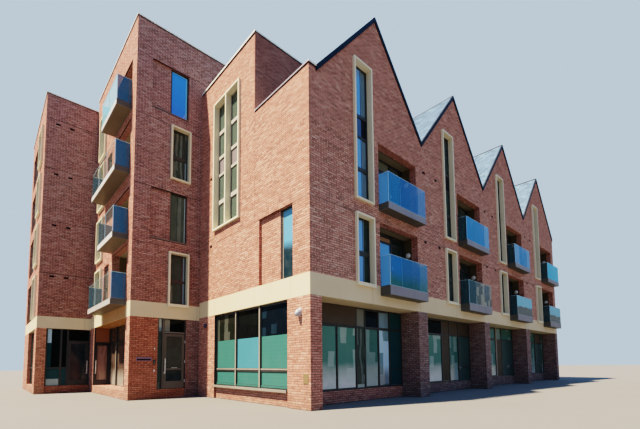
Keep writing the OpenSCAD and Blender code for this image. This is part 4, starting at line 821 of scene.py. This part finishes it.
# wing recess screens: back frame at x = -1.695
mf = [3.98, 6.75, 9.59, 12.46]
mh = [6.45, 8.90, 11.95, 14.61]
for k in range(4):
    z0, z1 = mf[k], mh[k]
    for u in (8.25, 9.43, 10.59):
        rs.on("W", -1.755, u, u + 0.06, -0.055, 0.0, z0, z1, 0)
    for a, b in ((8.31, 9.43), (9.49, 10.59)):
        rs.on("W", -1.755, a, b, -0.055, 0.0, z0, z0 + 0.09, 0)
        rs.on("W", -1.755, a, b, -0.055, 0.0, z1 - 0.09, z1, 0)
        rs.on("W", -1.755, a, b, -0.055, 0.0, z0 + 2.05, z0 + 2.12, 0)
        rs.on("W", -1.755, a, b, -0.018, -0.004, z0 + 0.09, z0 + 2.05, 3, 0.001)
rs.make()

# ------------------------------------------------------------------ guards and slab linings

gg = Build("guard_glass", ["guard", "guard_clear", "guard_edge", "guard_low", "guard_side", "guard_end", "guard_joint", "guard_mid",
                           "guard_right", "guard_top", "guard_mid_low", "guard_right_low", "guard_far_a", "guard_far_b",
                           "guard_far_c", "guard_smoke", "guard_town", "guard_split"], "balcony_glass")
# what each pane of a guard mirrors, bay by bay: upper storey, then lower storey; the guard colours here and on the end
# and side panes are painted reflections
UPPER = ((0, 7, 8), (12, 12, 13), (13, 12, 13), (14, 14, 14))
LOWER = ((3, 10, 11), (15, 16, 16), (17, 17, 17), (17, 17, 17))
EDGE = 0.012
for i in BAYS:
    o = i * BAY
    for z0, z1, m in ((4.14, 5.26, 3), (7.20, 8.34, 0)):
        a, b = LX0 - 0.01 + o, LX1 - 0.03 + o
        cuts = (a, a + 0.735, a + 1.93, b)
        for k in range(3):
            u0, u1 = cuts[k] + (0.005 if k else 0.0), cuts[k + 1] - (0.005 if k < 2 else 0.0)
            gg.box(u0, u1, -0.43, -0.41, z0 + 0.012, z1 - EDGE, (LOWER if m == 3 else UPPER)[i][k], 0.002)
            gg.box(u0, u1, -0.431, -0.409, z1 - EDGE + 0.001, z1, 2, 0.003)
            if k:
                gg.box(u0 - 0.001, u0 + 0.005, -0.4315, -0.409, z0 + 0.012, z1, 6, 0.001)
        gg.box(a, a + 0.02, -0.400, -0.02, z0 + 0.012, z1 - EDGE, 4 if i == 0 else 15, 0.002)
        gg.box(b - 0.02, b, -0.400, -0.02, z0 + 0.012, z1 - EDGE, 0, 0.002)
        gg.box(a - 0.001, a + 0.021, -0.404, -0.02, z1 - EDGE + 0.001, z1, 2, 0.003)
        gg.box(b - 0.021, b + 0.001, -0.404, -0.02, z1 - EDGE + 0.001, z1, 2, 0.003)
        gg.box(a - 0.001, a + 0.021, -0.4315, -0.4265, z0 + 0.012, z1 - EDGE, 2, 0.001)
SIDE = [(12.45, 3.85), (10.84, 6.60), (12.48, 9.45), (10.84, 12.30)]
for e, zb in SIDE:
    z0, z1 = zb + 0.23, zb + 1.33
    x0 = -2.875 - 0.59 + 0.01
    n = 3 if e > 12 else 2
    w = (e - 0.01 - 8.24) / n
    for k in range(n):
        u0, u1 = 8.24 + k * w + (0.006 if k else 0.0), 8.24 + (k + 1) * w - (0.006 if k < n - 1 else 0.0)
        gg.box(x0, x0 + 0.02, u0, u1, z0 + 0.012, z1 - EDGE, 9 if zb > 12 else 1, 0.002)
        gg.box(x0, x0 + 0.02, u0, u1, z1 - EDGE + 0.001, z1, 2, 0.003)
        if k:
            gg.box(x0 - 0.001, x0 + 0.021, u0 - 0.001, u0 + 0.006, z0 + 0.012, z1, 2, 0.001)
    gg.box(x0 - 0.001, x0 + 0.021, 8.2385, 8.245, z0 + 0.012, z1 - EDGE, 2, 0.001)
    for y in (8.24, e - 0.03):
        gg.box(x0 + 0.025, -2.895, y, y + 0.02, z0 + 0.012, z1 - EDGE, 5, 0.002)
        gg.box(x0 + 0.025, -2.895, y, y + 0.02, z1 - EDGE + 0.001, z1, 2, 0.003)
gg.make(["balcony_glass"])

sl = Build("balcony_trims", ["balcony", "wood", "frame", "steel", "balcony_shade_copy", "balcony_under", "white", "slab_edge", "slab_white"],
           "balcony_metal")
for i in BAYS:
    o = i * BAY
    a, b = LX0 - 0.02 + o, LX1 - 0.02 + o
    for z0, z1 in ((3.80, 4.14), (6.95, 7.20)):
        # clamp rail for the glass, drip lip and soffit lining; the lining and the slab's end face take the shaded copy
        # of the slab metal, painted shade
        sl.box(a + 0.004, b - 0.004, -0.436, -0.404, z1 - 0.002, z1 + 0.014, 3)
        sl.box(a + 0.02, b - 0.02, -0.42, -0.02, z0 - 0.008, z0 + 0.001, 4)
        sl.box(a - 0.003, a + 0.002, -0.438, -0.004, z0 + 0.002, z1 - 0.002, 4)
for e, zb in SIDE:
    sl.box(-3.44, -2.90, 8.25, e - 0.02, zb - 0.008, zb + 0.001, 5)
    # the slab's near end face takes the shaded copy of the slab metal: painted shade
    sl.box(-3.462, -2.88, 8.227, 8.232, zb + 0.002, zb + 0.228, 4)
    sl.box(-3.461, -3.431, 8.234, e - 0.004, zb + 0.228, zb + 0.244, 3)
    # pressed edge cover, in two lengths
    half = 8.234 + (e - 8.238) * 0.5
    for u0, u1 in ((8.234, half - 0.003), (half + 0.003, e - 0.004)):
        sl.box(-3.4685, -3.464, u0, u1, zb + 0.004, zb + 0.224, 7 if zb < 5 else 8, 0.002)
# porch ceiling under the band
sl.box(-2.855, -2.085, 8.20, 14.68, 3.335, 3.344, 1)
for y in (9.2, 10.6, 12.0, 13.4):
    sl.box(-2.52, -2.42, y - 0.05, y + 0.05, 3.329, 3.336, 6, 0.003)
sl.make()

# ------------------------------------------------------------------ slates, valleys and ridges

APEX, VAL = 14.56, 10.86
RUN = BAY / 2
LEN = math.hypot(RUN, APEX - VAL)
ex, ez = RUN / LEN, (APEX - VAL) / LEN


def slates(B, foot_x, sgn, y0, y1, s_lo=0.09, s_hi=LEN - 0.06):
    """Overlapping slates on one slope: sgn +1 rises to +X, -1 rises to -X."""
    nx, nz = -ez * sgn, ex
    row = 0
    s = s_lo
    while s < s_hi - 0.02:
        s1 = min(s + 0.215, s_hi)
        y = y0 - (0.15 if row % 2 else 0.0)
        while y < y1 - 1e-4:
            a, b = max(y + 0.002, y0), min(y + 0.298, y1)
            y += 0.3
            if b - a < 0.03:
                continue
            h0 = 0.0125 + rnd.uniform(-0.0012, 0.0016)
            h1 = 0.0035
            ds = rnd.uniform(-0.003, 0.003)
            P = []
            for ss, h in ((s + ds, h0), (s1, h1)):
                for yy in (a, b):
                    P.append((foot_x + sgn * ss * ex + nx * h, yy, VAL + ss * ez + nz * h))
            Q = []
            for yy in (a, b):
                Q.append((foot_x + sgn * (s + ds) * ex + nx * 0.0045, yy, VAL + (s + ds) * ez + nz * 0.0045))
            R = []
            for yy in (a, b):
                R.append((foot_x + sgn * s1 * ex - nx * 0.0015, yy, VAL + s1 * ez - nz * 0.0015))
            V = [P[0], P[1], P[2], P[3], Q[0], Q[1], R[0], R[1]]
            # top, tail, two sides, underside and head
            F = [(0, 1, 3, 2), (4, 5, 1, 0), (0, 2, 6, 4), (5, 7, 3, 1), (4, 6, 7, 5), (2, 3, 7, 6)]
            if sgn > 0:
                F = [tuple(reversed(f)) for f in F]
            B.add(V, F, 0)
        s += 0.2
        row += 1


ws = Build("west_slates", ["slate"], "slate")
es = Build("east_slates", ["slate"], "slate")
slates(ws, 0.3, 1, 0.022, 3.065)
slates(ws, 0.3, 1, 3.375, 7.60, s_lo=(2.955 - 0.3) / ex + 0.05)
slates(es, 0.3 + BAY, -1, 0.022, 7.60)
for i in (1, 2, 3):
    slates(ws, 0.3 + i * BAY, 1, 0.022, 10.178)
    slates(es, 0.3 + (i + 1) * BAY, -1, 0.022, 10.178, s_lo=0.09 if i < 3 else 0.0)
ws.make()
es.make()

rv = Build("ridges_and_valleys", ["navy", "lead"], "navy_trim")


def tent(B, x, z, y0, y1, w, t, sgn, m, nose=0.02):
    """Folded length over a ridge (sgn 1) or in a valley (sgn -1)."""
    k = ez / ex
    top = [(x - w, z - sgn * w * k), (x - nose, z - sgn * nose * k + sgn * 0.0), (x + nose, z - sgn * nose * k), (x + w, z - sgn * w * k)]
    outer = [(p, q + t) for p, q in top]
    outer[1] = (x - nose, outer[1][1] + 0.004 * sgn)
    outer[2] = (x + nose, outer[2][1] + 0.004 * sgn)
    loop = top + outer[::-1]
    n = len(loop)
    V = [(p, y0, q) for p, q in loop] + [(p, y1, q) for p, q in loop]
    F = [tuple(range(n)), tuple(range(2 * n - 1, n - 1, -1))]
    for j in range(n):
        F.append((j, j + n, (j + 1) % n + n, (j + 1) % n))
    B.add(V, F, m)


for i in BAYS:
    xr = 0.3 + BAY * (i + 0.5)
    y, end = 0.0, (7.60 if i == 0 else 10.2)
    while y < end - 0.05:
        e = min(y + 0.455, end)
        tent(rv, xr, APEX + 0.004, y + 0.002, e - 0.002, 0.10, 0.016, 1, 0)
        y += 0.455
for i in (1, 2, 3):
    xv = 0.3 + BAY * i
    y, end = 0.02, (7.60 if i == 1 else 10.18)
    while y < end - 0.05:
        e = min(y + 2.1, end)
        tent(rv, xv, VAL + 0.002, y, e + (0.02 if e < end else 0.0), 0.075, 0.006, -1, 1, 0.03)
        y += 2.1
rv.make()

# ------------------------------------------------------------------ wall fittings

ft_ = Build("vents_and_plates", ["black", "frame", "plate", "white", "purple", "steel", "seal"], "dark_frame")


def vent(side, face, u, z, w=0.17, h=0.10):
    ft_.ring(side, face, u - w / 2, u + w / 2, -0.008, 0.012, z - h / 2, z + h / 2, 0.008, 0, 0.001)
    ft_.on(side, face, u - w / 2 + 0.008, u + w / 2 - 0.008, -0.002, 0.006, z - h / 2 + 0.008, z + h / 2 - 0.008, 0, 0.001)
    for k in range(3):
        zz = z - h / 2 + 0.014 + k * 0.018
        ft_.on(side, face, u - w / 2 + 0.009, u + w / 2 - 0.009, -0.006, -0.002, zz, zz + 0.006, 0, 0.001)


for i in BAYS:
    o = i * BAY
    for x, z in ((6.553, 9.54), (7.545, 9.54), (6.54, 6.48), (7.70, 6.48)):
        if x + o < 24.7:
            vent("S", 0.0, x + o, z)
vent("W", 0.0, 6.58, 9.55)
vent("W", 0.0, 6.53, 6.49)
for z in (14.08, 11.36, 8.63, 5.945):
    vent("S", 14.705, -4.695, z, 0.19, 0.09)
    vent("S", 14.705, -4.08, z, 0.19, 0.09)
for z in (6.12, 8.80, 11.74):
    vent("W", -2.875, 12.40, z, 0.12)
# blank access plate on the corner pier
ft_.on("W", 0.0, 0.10, 0.33, -0.012, 0.004, 0.776, 1.07, 2, 0.004)
for u, z in ((0.118, 0.794), (0.312, 0.794), (0.118, 1.052), (0.312, 1.052)):
    ft_.lathe("W", -0.012, u, z, ((0.006, 0.0), (0.006, 0.002), (0.003, 0.003)), 5, 10)
# letter slot, call panel and small plate beside the main door
ft_.ring("S", MY, -2.60, -2.01, -0.014, 0.004, 1.54, 1.70, 0.028, 4)
ft_.on("S", MY, -2.572, -2.038, -0.006, 0.004, 1.568, 1.672, 0)
ft_.on("S", MY, -2.565, -2.045, -0.016, -0.006, 1.625, 1.668, 4, 0.004)
ft_.on("S", MY, -1.945, -1.855, -0.022, 0.004, 1.40, 1.60, 1, 0.008)
for k in range(3):
    ft_.lathe("S", MY - 0.022, -1.90, 1.44 + k * 0.035, ((0.008, 0.0), (0.008, 0.003), (0.004, 0.004)), 5, 12)
ft_.on("S", MY, -1.93, -1.87, -0.010, 0.004, 1.10, 1.19, 3, 0.004)
ft_.on("S", MY, -1.92, -1.88, -0.012, 0.004, 2.02, 2.09, 3, 0.004)
# sealed soft joints
for i in BAYS:
    o = i * BAY
    for a, b in ((0.30 if i == 0 else LX1 + o - BAY, WX0 + o), (WX1 + o, LX0 + o)):
        ft_.box(a + 0.004, b - 0.004, -0.001, 0.05, 6.5465, 6.5635, 6, 0.001)
ft_.box(LX1 + 3 * BAY + 0.004, 24.53, -0.001, 0.05, 6.5465, 6.5635, 6, 0.001)
ft_.box(-0.001, 0.05, 0.05, 0.826, 6.5465, 6.5635, 6, 0.001)
ft_.box(-0.001, 0.05, 1.604, 7.60, 6.5465, 6.5635, 6, 0.001)
for z in mh:
    ft_.box(-2.868, 6.41, 7.619, 7.67, z - 0.006, z + 0.016, 6, 0.001)
    ft_.box(-2.868, -2.83, 7.67, 14.69, z + 0.0005, z + 0.0095, 6, 0.001)
for z in HED:
    ft_.box(-5.208, -2.885, 14.7035, 14.755, z - 0.008, z + 0.020, 6, 0.001)
    ft_.box(-5.208, -5.165, 14.755, 21.41, z + 0.0005, z + 0.0095, 6, 0.001)
    ft_.box(-5.20, 6.40, 21.41, 21.453, z + 0.0005, z + 0.0095, 6, 0.001)
    ft_.box(6.37, 6.413, 10.0, 21.41, z + 0.0005, z + 0.0095, 6, 0.001)
ft_.make()

cf = Build("coping_faces", ["coping", "coping_lilac", "navy"], "coping_metal")
cf.box(-0.034, -0.029, 3.045, 7.61, 14.085 - 0.078, 14.085 - 0.003, 0, 0.002)
cf.box(-0.024, -0.012, 3.06, 7.61, 14.085 - 0.122, 14.085 - 0.082, 2, 0.002)
cf.box(-0.034, -0.029, 0.0, 3.03, 10.86 - 0.043, 10.86 - 0.002, 1, 0.002)
# cover straps over the coping joints
for y in (3.9, 4.8, 5.7, 6.6, 7.3):
    cf.box(-0.037, 0.33, y, y + 0.09, 14.085 - 0.076, 14.087, 0, 0.002)
cf.make()

lm = Build("lamp_bodies", ["lamp", "lamp_blue", "steel", "frame", "lamp_white"], "lamp_white")


def bulkhead(side, face, u, z, r, h, m, sz=1.0, rim=2, drop=0.0):
    lm.lathe(side, face, u, z, ((r * 0.97, 0.0), (r, 0.004), (r, 0.018), (r * 0.96, 0.024)), rim, 32, sz, drop=drop)
    prof = [(r * 0.93, 0.022)]
    for k in range(1, 9):
        a = math.pi / 2 * k / 9
        prof.append((r * 0.93 * math.cos(a), 0.022 + (h - 0.022) * math.sin(a)))
    prof.append((r * 0.08, h))
    lm.lathe(side, face, u, z, prof, m, 32, sz, drop=drop)


for i in BAYS:
    for z in (5.87, 8.94):
        bulkhead("W", LX1 + i * BAY, 0.47, z, 0.118, 0.058, 4)
bulkhead("W", 0.0, 0.49, 2.96, 0.108, 0.190, 0, 1.30, rim=2, drop=0.35)
bulkhead("W", 0.0, 6.92, 3.06, 0.08, 0.115, 1, 1.2, rim=3)
lm.make(["wall_lamps"])

# ------------------------------------------------------------------ shopfronts

sf = Build("shopfront_linings", ["frame", "olive", "green", "g_green", "white", "film", "film_blue", "frame_lit_copy", "render",
                                 "g_shop", "g_dim", "frame_bronze", "olive_dark", "mullion_clay", "g_black", "g_umber", "g_night", "g_teal",
                                 "g_front", "g_sky", "g_light", "g_brown", "g_screen", "bar_lit_copy", "g_strip"], "dark_frame")
BLACK, UMBER, NIGHT, TEAL, FRONT, SKY, PALE, BROWN, SCREEN, BAR_LIT, STRIP = range(14, 25)
SY = 0.85
# bay 1
sf.on("S", SY, 0.48, 2.97, -0.006, 0.002, 2.75, 3.44, 12, 0.004)
sf.on("S", SY, 5.05, 5.79, 0.006, 0.045, 0.50, 2.675, TEAL, 0.004)
sf.on("S", SY, 5.05, 5.79, 0.010, 0.045, 2.745, 3.385, TEAL, 0.004)
sf.on("S", SY, 5.052, 5.788, -0.006, 0.008, 1.105, 1.13, 0, 0.003)
sf.on("S", SY, 3.03, 3.47, 0.020, 0.045, 0.60, 2.675, 10, 0.003)
# painted reflections in each pane: pale lower halves, one bright pane; the dark top lights are painted shade of the
# unlit shop
for a, b, z0, z1, m in ((0.535, 1.955, 0.48, 2.68, FRONT), (2.015, 2.97, 0.48, 2.68, FRONT), (3.53, 4.28, 0.48, 2.68, 9),
                        (4.34, 4.99, 0.48, 2.68, SKY), (3.03, 3.47, 2.74, 3.39, PALE), (3.53, 4.28, 2.74, 3.39, NIGHT),
                        (4.34, 4.99, 2.74, 3.39, STRIP), (6.605, 7.92, 0.48, 2.68, SKY), (6.605, 7.92, 2.74, 3.39, BLACK),
                        (7.98, 9.135, 0.48, 2.68, FRONT), (7.98, 9.135, 2.74, 3.39, BLACK)):
    sf.on("S", SY, a, b, 0.030, 0.038, z0, z1, m, 0.001)
# bay 2
sf.on("S", SY, 9.93, 10.80, 0.012, 0.045, 2.745, 3.385, 12, 0.004)
sf.on("S", SY, 10.86, 12.05, 0.012, 0.045, 2.745, 3.385, 12, 0.004)
sf.on("S", SY, 9.20, 9.87, 0.012, 0.045, 0.50, 3.385, 12, 0.004)
# bay 3
sf.on("S", SY, 12.79, 13.87, 0.012, 0.045, 0.57, 3.385, 8, 0.004)
sf.on("S", SY, 15.545, 15.645, -0.008, 0.03, 0.56, 3.39, 13, 0.004)
sf.on("S", SY, 15.71, 16.37, 0.012, 0.045, 0.57, 2.675, 12, 0.004)
# bay 4
sf.on("S", SY, 18.97, 20.07, 0.012, 0.045, 0.57, 3.385, 8, 0.004)
sf.on("S", SY, 22.56, 23.80, 0.012, 0.045, 2.745, 3.385, 12, 0.004)
# glazing beads round every other light
for b, xs in enumerate(((0.535, 1.955, 2.015, 2.97, 3.53, 4.28, 4.34, 4.99), (6.605, 7.92, 7.98, 9.135),
                        (13.93, 15.53), (20.13, 21.27, 21.33, 22.50))):
    zb = 0.48 if b < 2 else 0.56
    for k in range(0, len(xs), 2):
        sf.ring("S", SY, xs[k], xs[k + 1], 0.018, 0.042, zb, 2.68, 0.022, 0, 0.002)
        if not (b == 0 and k < 4):
            sf.ring("S", SY, xs[k], xs[k + 1], 0.018, 0.042, 2.74, 3.39, 0.022, 0, 0.002)
# square shopfront: coloured film inside the panes, cappings with a pale front in the lit copy of the frame colour
# (painted light), dark top lights for the unlit shop (painted shade), dark beads
for k, (a, b) in enumerate(((1.18, 2.77), (2.87, 4.435), (4.525, 6.06))):
    m = 6 if k == 1 else 5
    sf.on("W", 0.1, a, b, 0.026, 0.036, 1.215, 2.34, m, 0.001)
    sf.on("W", 0.1, a, b, 0.026, 0.036, 0.63, 1.13, 5, 0.001)
    sf.on("W", 0.1, a, b, 0.030, 0.038, 2.342, 3.39, (NIGHT, BLACK, UMBER)[k], 0.001)
    sf.on("W", 0.1, a, b, -0.003, 0.003, 0.572, 0.632, 5, 0.001)
    sf.on("W", 0.1, a, b, -0.012, 0.0, 1.165, 1.215, 7, 0.004)
    sf.on("W", 0.1, a, b, 0.002, 0.026, 1.10, 1.13, 0, 0.002)
    sf.ring("W", 0.1, a, b, 0.010, 0.028, 0.63, 1.10, 0.014, 0, 0.002)
    sf.ring("W", 0.1, a, b, 0.010, 0.028, 1.215, 3.39, 0.014, 0, 0.002)
for y in (2.77, 4.435):
    w = 0.10 if y < 3 else 0.09
    sf.on("W", 0.1, y + 0.004, y + w - 0.004, -0.034, 0.0, 0.555, 3.44, 0, 0.003)
    sf.on("W", 0.1, y + 0.016, y + w - 0.006, -0.040, -0.034, 0.555, 3.44, 7, 0.002)
sf.on("W", 0.1, 1.125, 1.175, -0.006, 0.0, 0.555, 3.44, 0, 0.003)
# dark lining of the far reveal: partly the dark frame, partly painted shade on the brick return
sf.box(0.004, 0.098, 6.108, 6.118, 0.555, 3.44, 0, 0.002)
# sill nosing in the lit copy of the frame colour: painted light
sf.box(-0.052, -0.036, 1.13, 6.11, 0.452, 0.542, 7, 0.006)
# entrance screen cappings and the pale transom top, a painted highlight in the lit copy of the frame colour
sf.box(-1.49, -0.60, 7.722, 7.74, 2.745, 2.775, 7, 0.003)
# behind the glass of the entrance screen: painted reflections, and painted shade for the unlit hall
sf.on("S", 7.74, -1.715, -1.57, 0.0295, 0.0345, 2.785, 3.34, STRIP, 0.001)
sf.on("S", 7.74, -1.490, -1.24, 0.0295, 0.0345, 2.785, 3.34, PALE, 0.001)
sf.on("S", 7.74, -1.238, -0.60, 0.0295, 0.0345, 2.785, 3.34, BLACK, 0.001)
sf.on("S", 7.74, -1.715, -1.57, 0.0295, 0.0345, 0.365, 2.705, 10, 0.001)
for z in (0.62, 1.46, 2.32):
    sf.box(-0.598, -0.572, 7.732, 7.742, z, z + 0.12, 4, 0.002)
sf.box(-1.785, -1.725, 7.728, 7.742, 0.365, 3.34, 11, 0.003)
sf.box(-1.560, -1.500, 7.728, 7.742, 0.365, 3.34, 11, 0.003)
sf.ring("S", 7.74, -1.715, -1.57, 0.015, 0.034, 0.365, 2.705, 0.016, 0, 0.002)
sf.ring("S", 7.74, -1.715, -1.57, 0.015, 0.034, 2.785, 3.34, 0.016, 0, 0.002)
sf.ring("S", 7.74, -1.49, -0.60, 0.015, 0.034, 2.785, 3.34, 0.022, 0, 0.002)
# rear shopfront beads
for a, b in ((-4.75, -4.185), (-4.125, -3.895)):
    sf.ring("S", 14.855, a, b, 0.015, 0.038, 0.365, 1.25, 0.02, 0, 0.002)
    sf.ring("S", 14.855, a, b, 0.015, 0.038, 1.30, 3.28, 0.02, 0, 0.002)
# porch screen beads, and its panes in painted reflection
for a, b in ((8.29, 9.80), (9.90, 10.90), (11.0, 12.40), (12.50, 13.78)):
    sf.ring("W", -2.175, a, b, 0.045, 0.068, 0.365, 2.50, 0.022, 0, 0.002)
    sf.ring("W", -2.175, a, b, 0.045, 0.068, 2.56, 3.34, 0.022, 0, 0.002)
    sf.on("W", -2.175, a, b, 0.062, 0.069, 0.365, 2.50, SCREEN, 0.001)
    sf.on("W", -2.175, a, b, 0.062, 0.069, 2.56, 3.34, SCREEN, 0.001)
# a pane in painted warm brown reflection, and a mullion face in the lit copy of the frame colour (painted light)
sf.on("S", 13.78, -2.828, -2.184, 0.026, 0.034, 2.592, 3.343, BROWN, 0.001)
sf.on("W", -2.175, 12.403, 12.497, -0.004, 0.0, 0.365, 2.50, 7, 0.002)
# side window of the rear shop: beads, then its two lights, painted dark for the unlit shop with mirrored openings as
# painted reflection
for a, b in ((15.66, 17.17), (17.23, 18.74)):
    sf.ring("W", -5.065, a, b, 0.012, 0.030, 1.30, 3.285, 0.018, 0, 0.003)
    sf.ring("W", -5.065, a, b, 0.012, 0.030, 0.362, 1.25, 0.018, 0, 0.003)
    sf.on("W", -5.065, a + 0.004, b - 0.004, 0.031, 0.038, 0.366, 1.246, UMBER, 0.001)
    sf.on("W", -5.065, a + 0.004, b - 0.004, 0.031, 0.038, 1.304, 3.281, UMBER, 0.001)
# rear shop panes: painted reflections, and painted shade for the unlit shop
for a, b in ((-4.75, -4.185), (-4.125, -3.895)):
    sf.on("S", 14.855, a, b, 0.030, 0.0345, 0.365, 0.72, 9 if a < -4.5 else TEAL, 0.001)
    sf.on("S", 14.855, a, b, 0.030, 0.0345, 0.722, 1.25, TEAL, 0.001)
    sf.on("S", 14.855, a + (0.19 if a < -4.5 else 0.0), b, 0.030, 0.0345, 1.30, 3.28, BLACK, 0.001)
    if a < -4.5:
        sf.on("S", 14.855, a, a + 0.188, 0.030, 0.0345, 2.55, 3.28, SKY, 0.001)
        sf.on("S", 14.855, a, a + 0.188, 0.030, 0.0345, 1.30, 2.548, TEAL, 0.001)
sf.on("S", 14.855, -3.835, -2.935, 0.030, 0.0345, 2.70, 3.28, BLACK, 0.001)
sf.make()

# ------------------------------------------------------------------ door fittings, each on its own leaf


def bead_ring(name, body, x0, x1, y, z0, z1, key):
    B = Build(name, ["frame", "steel", key], "dark_frame", body)
    B.ring("S", y, x0, x1, 0.004, 0.020, z0, z1, 0.014, 2, 0.002)
    return B


mb = bead_ring("main_door_fittings", "main_door", -1.388, -0.698, 7.75, 0.675, 2.607, "frame_bronze")
mb.on("S", 7.75, -1.16, -0.91, -0.012, 0.018, 1.235, 1.265, 1, 0.004)
mb.on("S", 7.75, -1.388, -0.698, 0.002, 0.018, 1.16, 1.235, 2, 0.003)
mb.on("S", 7.75, -1.47, -1.40, -0.004, 0.002, 1.0, 1.09, 1, 0.003)
mb.make()
pb = bead_ring("porch_door_fittings", "porch_leaf", -2.742, -2.27, 13.79, 0.625, 2.432, "frame")
pb.on("S", 13.79, -2.81, -2.755, -0.004, 0.002, 0.95, 1.04, 1, 0.002)
pb.make()
sb = bead_ring("shop_door_fittings", "shop_leaf", -3.737, -3.033, 14.865, 0.625, 2.542, "frame")
sb.on("S", 14.865, -3.02, -2.955, -0.004, 0.002, 0.95, 1.04, 1, 0.002)
sb.make()
for name, x0, x1, z0, hx in (("a", 10.868, 12.042, 0.428, 1), ("b", 16.438, 17.291, 0.508, 0), ("c", 17.304, 18.157, 0.508, 1),
                             ("d", 22.568, 23.792, 0.508, 0)):
    B = Build("green_door_" + name + "_fittings", ["green", "frame", "steel"], "green_paint", "green_leaf_" + name)
    y = SY + 0.01
    # edge stile and middle rail line
    B.ring("S", y, x0 + 0.03, x1 - 0.03, -0.004, 0.002, z0 + 0.05, 2.64, 0.09, 0, 0.002)
    B.on("S", y, x0 + 0.12, x1 - 0.12, -0.004, 0.002, 1.085, 1.15, 1, 0.002)
    hnd = x0 + 0.07 if hx else x1 - 0.07
    B.on("S", y, hnd - 0.018, hnd + 0.018, -0.008, 0.002, 1.00, 1.18, 2, 0.004)
    B.on("S", y, hnd - 0.010, hnd + 0.010, -0.045, -0.006, 1.10, 1.12, 2, 0.004)
    B.on("S", y, hnd - 0.010 if hx else hnd - 0.11, hnd + 0.11 if hx else hnd + 0.010, -0.052, -0.038, 1.10, 1.12, 2, 0.004)
    B.make()

# ------------------------------------------------------------------ camera, light and floor

cam_data = bpy.data.cameras.new("camera")
cam = bpy.data.objects.new("camera", cam_data)
bpy.context.scene.collection.objects.link(cam)
cam_data.sensor_width = 36.0
cam_data.sensor_fit = "HORIZONTAL"
cam_data.lens = 20.54
cam_data.shift_y = 0.191
cam_data.clip_end = 400.0
yaw, pitch, roll = (math.radians(a) for a in (42.68, 4.19, -0.53))
fwd = Vector((math.sin(yaw) * math.cos(pitch), math.cos(yaw) * math.cos(pitch), math.sin(pitch)))
right = Vector((math.cos(yaw), -math.sin(yaw), 0.0))
up = right.cross(fwd)
r_ax = math.cos(roll) * right + math.sin(roll) * up
u_ax = -math.sin(roll) * right + math.cos(roll) * up
cam.matrix_world = Matrix.Translation((-7.099 - OX, -8.115 - OY, 1.375)) @ Matrix(
    ((r_ax.x, u_ax.x, -fwd.x), (r_ax.y, u_ax.y, -fwd.y), (r_ax.z, u_ax.z, -fwd.z))).to_4x4()
bpy.context.scene.camera = cam
bpy.context.scene.view_settings.view_transform = "Filmic"
bpy.context.scene.view_settings.look = "High Contrast"

world = bpy.data.worlds.new("studio")
world.use_nodes = True
wt = world.node_tree
wb = wt.nodes["Background"]
tc = wt.nodes.new("ShaderNodeTexCoord")
sx = wt.nodes.new("ShaderNodeSeparateXYZ")
wt.links.new(tc.outputs["Generated"], sx.inputs[0])


def sky(stops):
    r = wt.nodes.new("ShaderNodeValToRGB")
    e = r.color_ramp.elements
    while len(e) < len(stops):
        e.new(0.5)
    for k, (q, c) in enumerate(stops):
        e[k].position = q
        e[k].color = (*c, 1.0)
    wt.links.new(sx.outputs[2], r.inputs[0])
    return r.outputs[0]


soft = sky(((0.0, (0.16, 0.20, 0.25)), (0.16, (0.25, 0.32, 0.44)), (0.42, (0.38, 0.52, 0.78)), (1.0, (0.26, 0.42, 0.72))))
shine = sky(((0.0, (0.12, 0.14, 0.14)), (0.14, (0.22, 0.30, 0.36)), (0.34, (0.22, 0.52, 0.90)), (0.8, (0.10, 0.42, 1.0))))
lp = wt.nodes.new("ShaderNodeLightPath")
wm = wt.nodes.new("ShaderNodeMix")
wm.data_type = "RGBA"
wg = wt.nodes.new("ShaderNodeMix")
wg.data_type = "RGBA"
wt.links.new(lp.outputs["Is Glossy Ray"], wg.inputs[0])
wt.links.new(soft, wg.inputs[6])
wt.links.new(shine, wg.inputs[7])
wt.links.new(lp.outputs["Is Camera Ray"], wm.inputs[0])
wt.links.new(wg.outputs[2], wm.inputs[6])
wm.inputs[7].default_value = (0.50, 0.65, 0.80, 1.0)
wt.links.new(wm.outputs[2], wb.inputs[0])
wb.inputs[1].default_value = 1.0
bpy.context.scene.world = world

sun_data = bpy.data.lights.new("key", "SUN")
sun_data.energy = 15.2
sun_data.angle = math.radians(1.6)
sun_data.color = (1.0, 0.82, 0.575)
sun = bpy.data.objects.new("key", sun_data)
bpy.context.scene.collection.objects.link(sun)
# high, from the left and a little behind the street front
d = Vector((1.0, -0.32, -1.79)).normalized()
sun.rotation_mode = "QUATERNION"
sun.rotation_quaternion = d.to_track_quat("-Z", "Y")

fm = bpy.data.meshes.new("floor")
s = 140.0
fm.from_pydata([(-s, -s, -0.01), (s, -s, -0.01), (s, s, -0.01), (-s, s, -0.01)], [], [(0, 1, 2, 3)])
floor = bpy.data.objects.new("floor", fm)
bpy.context.scene.collection.objects.link(floor)
ft = Tree("floor_pale")
ft.link(ft.mix(ft.span(ft.noise(0.3, 3.0), 0.3, 0.7), rgb(0.140, 0.136, 0.132), rgb(0.148, 0.144, 0.140)), ft.b.inputs["Base Color"])
ft.b.inputs["Roughness"].default_value = 0.9
fm.materials.append(ft.m)

tris = {o.name: sum(len(p.vertices) - 2 for p in o.data.polygons) for o in MADE}
print("added triangles", sum(tris.values()), tris)
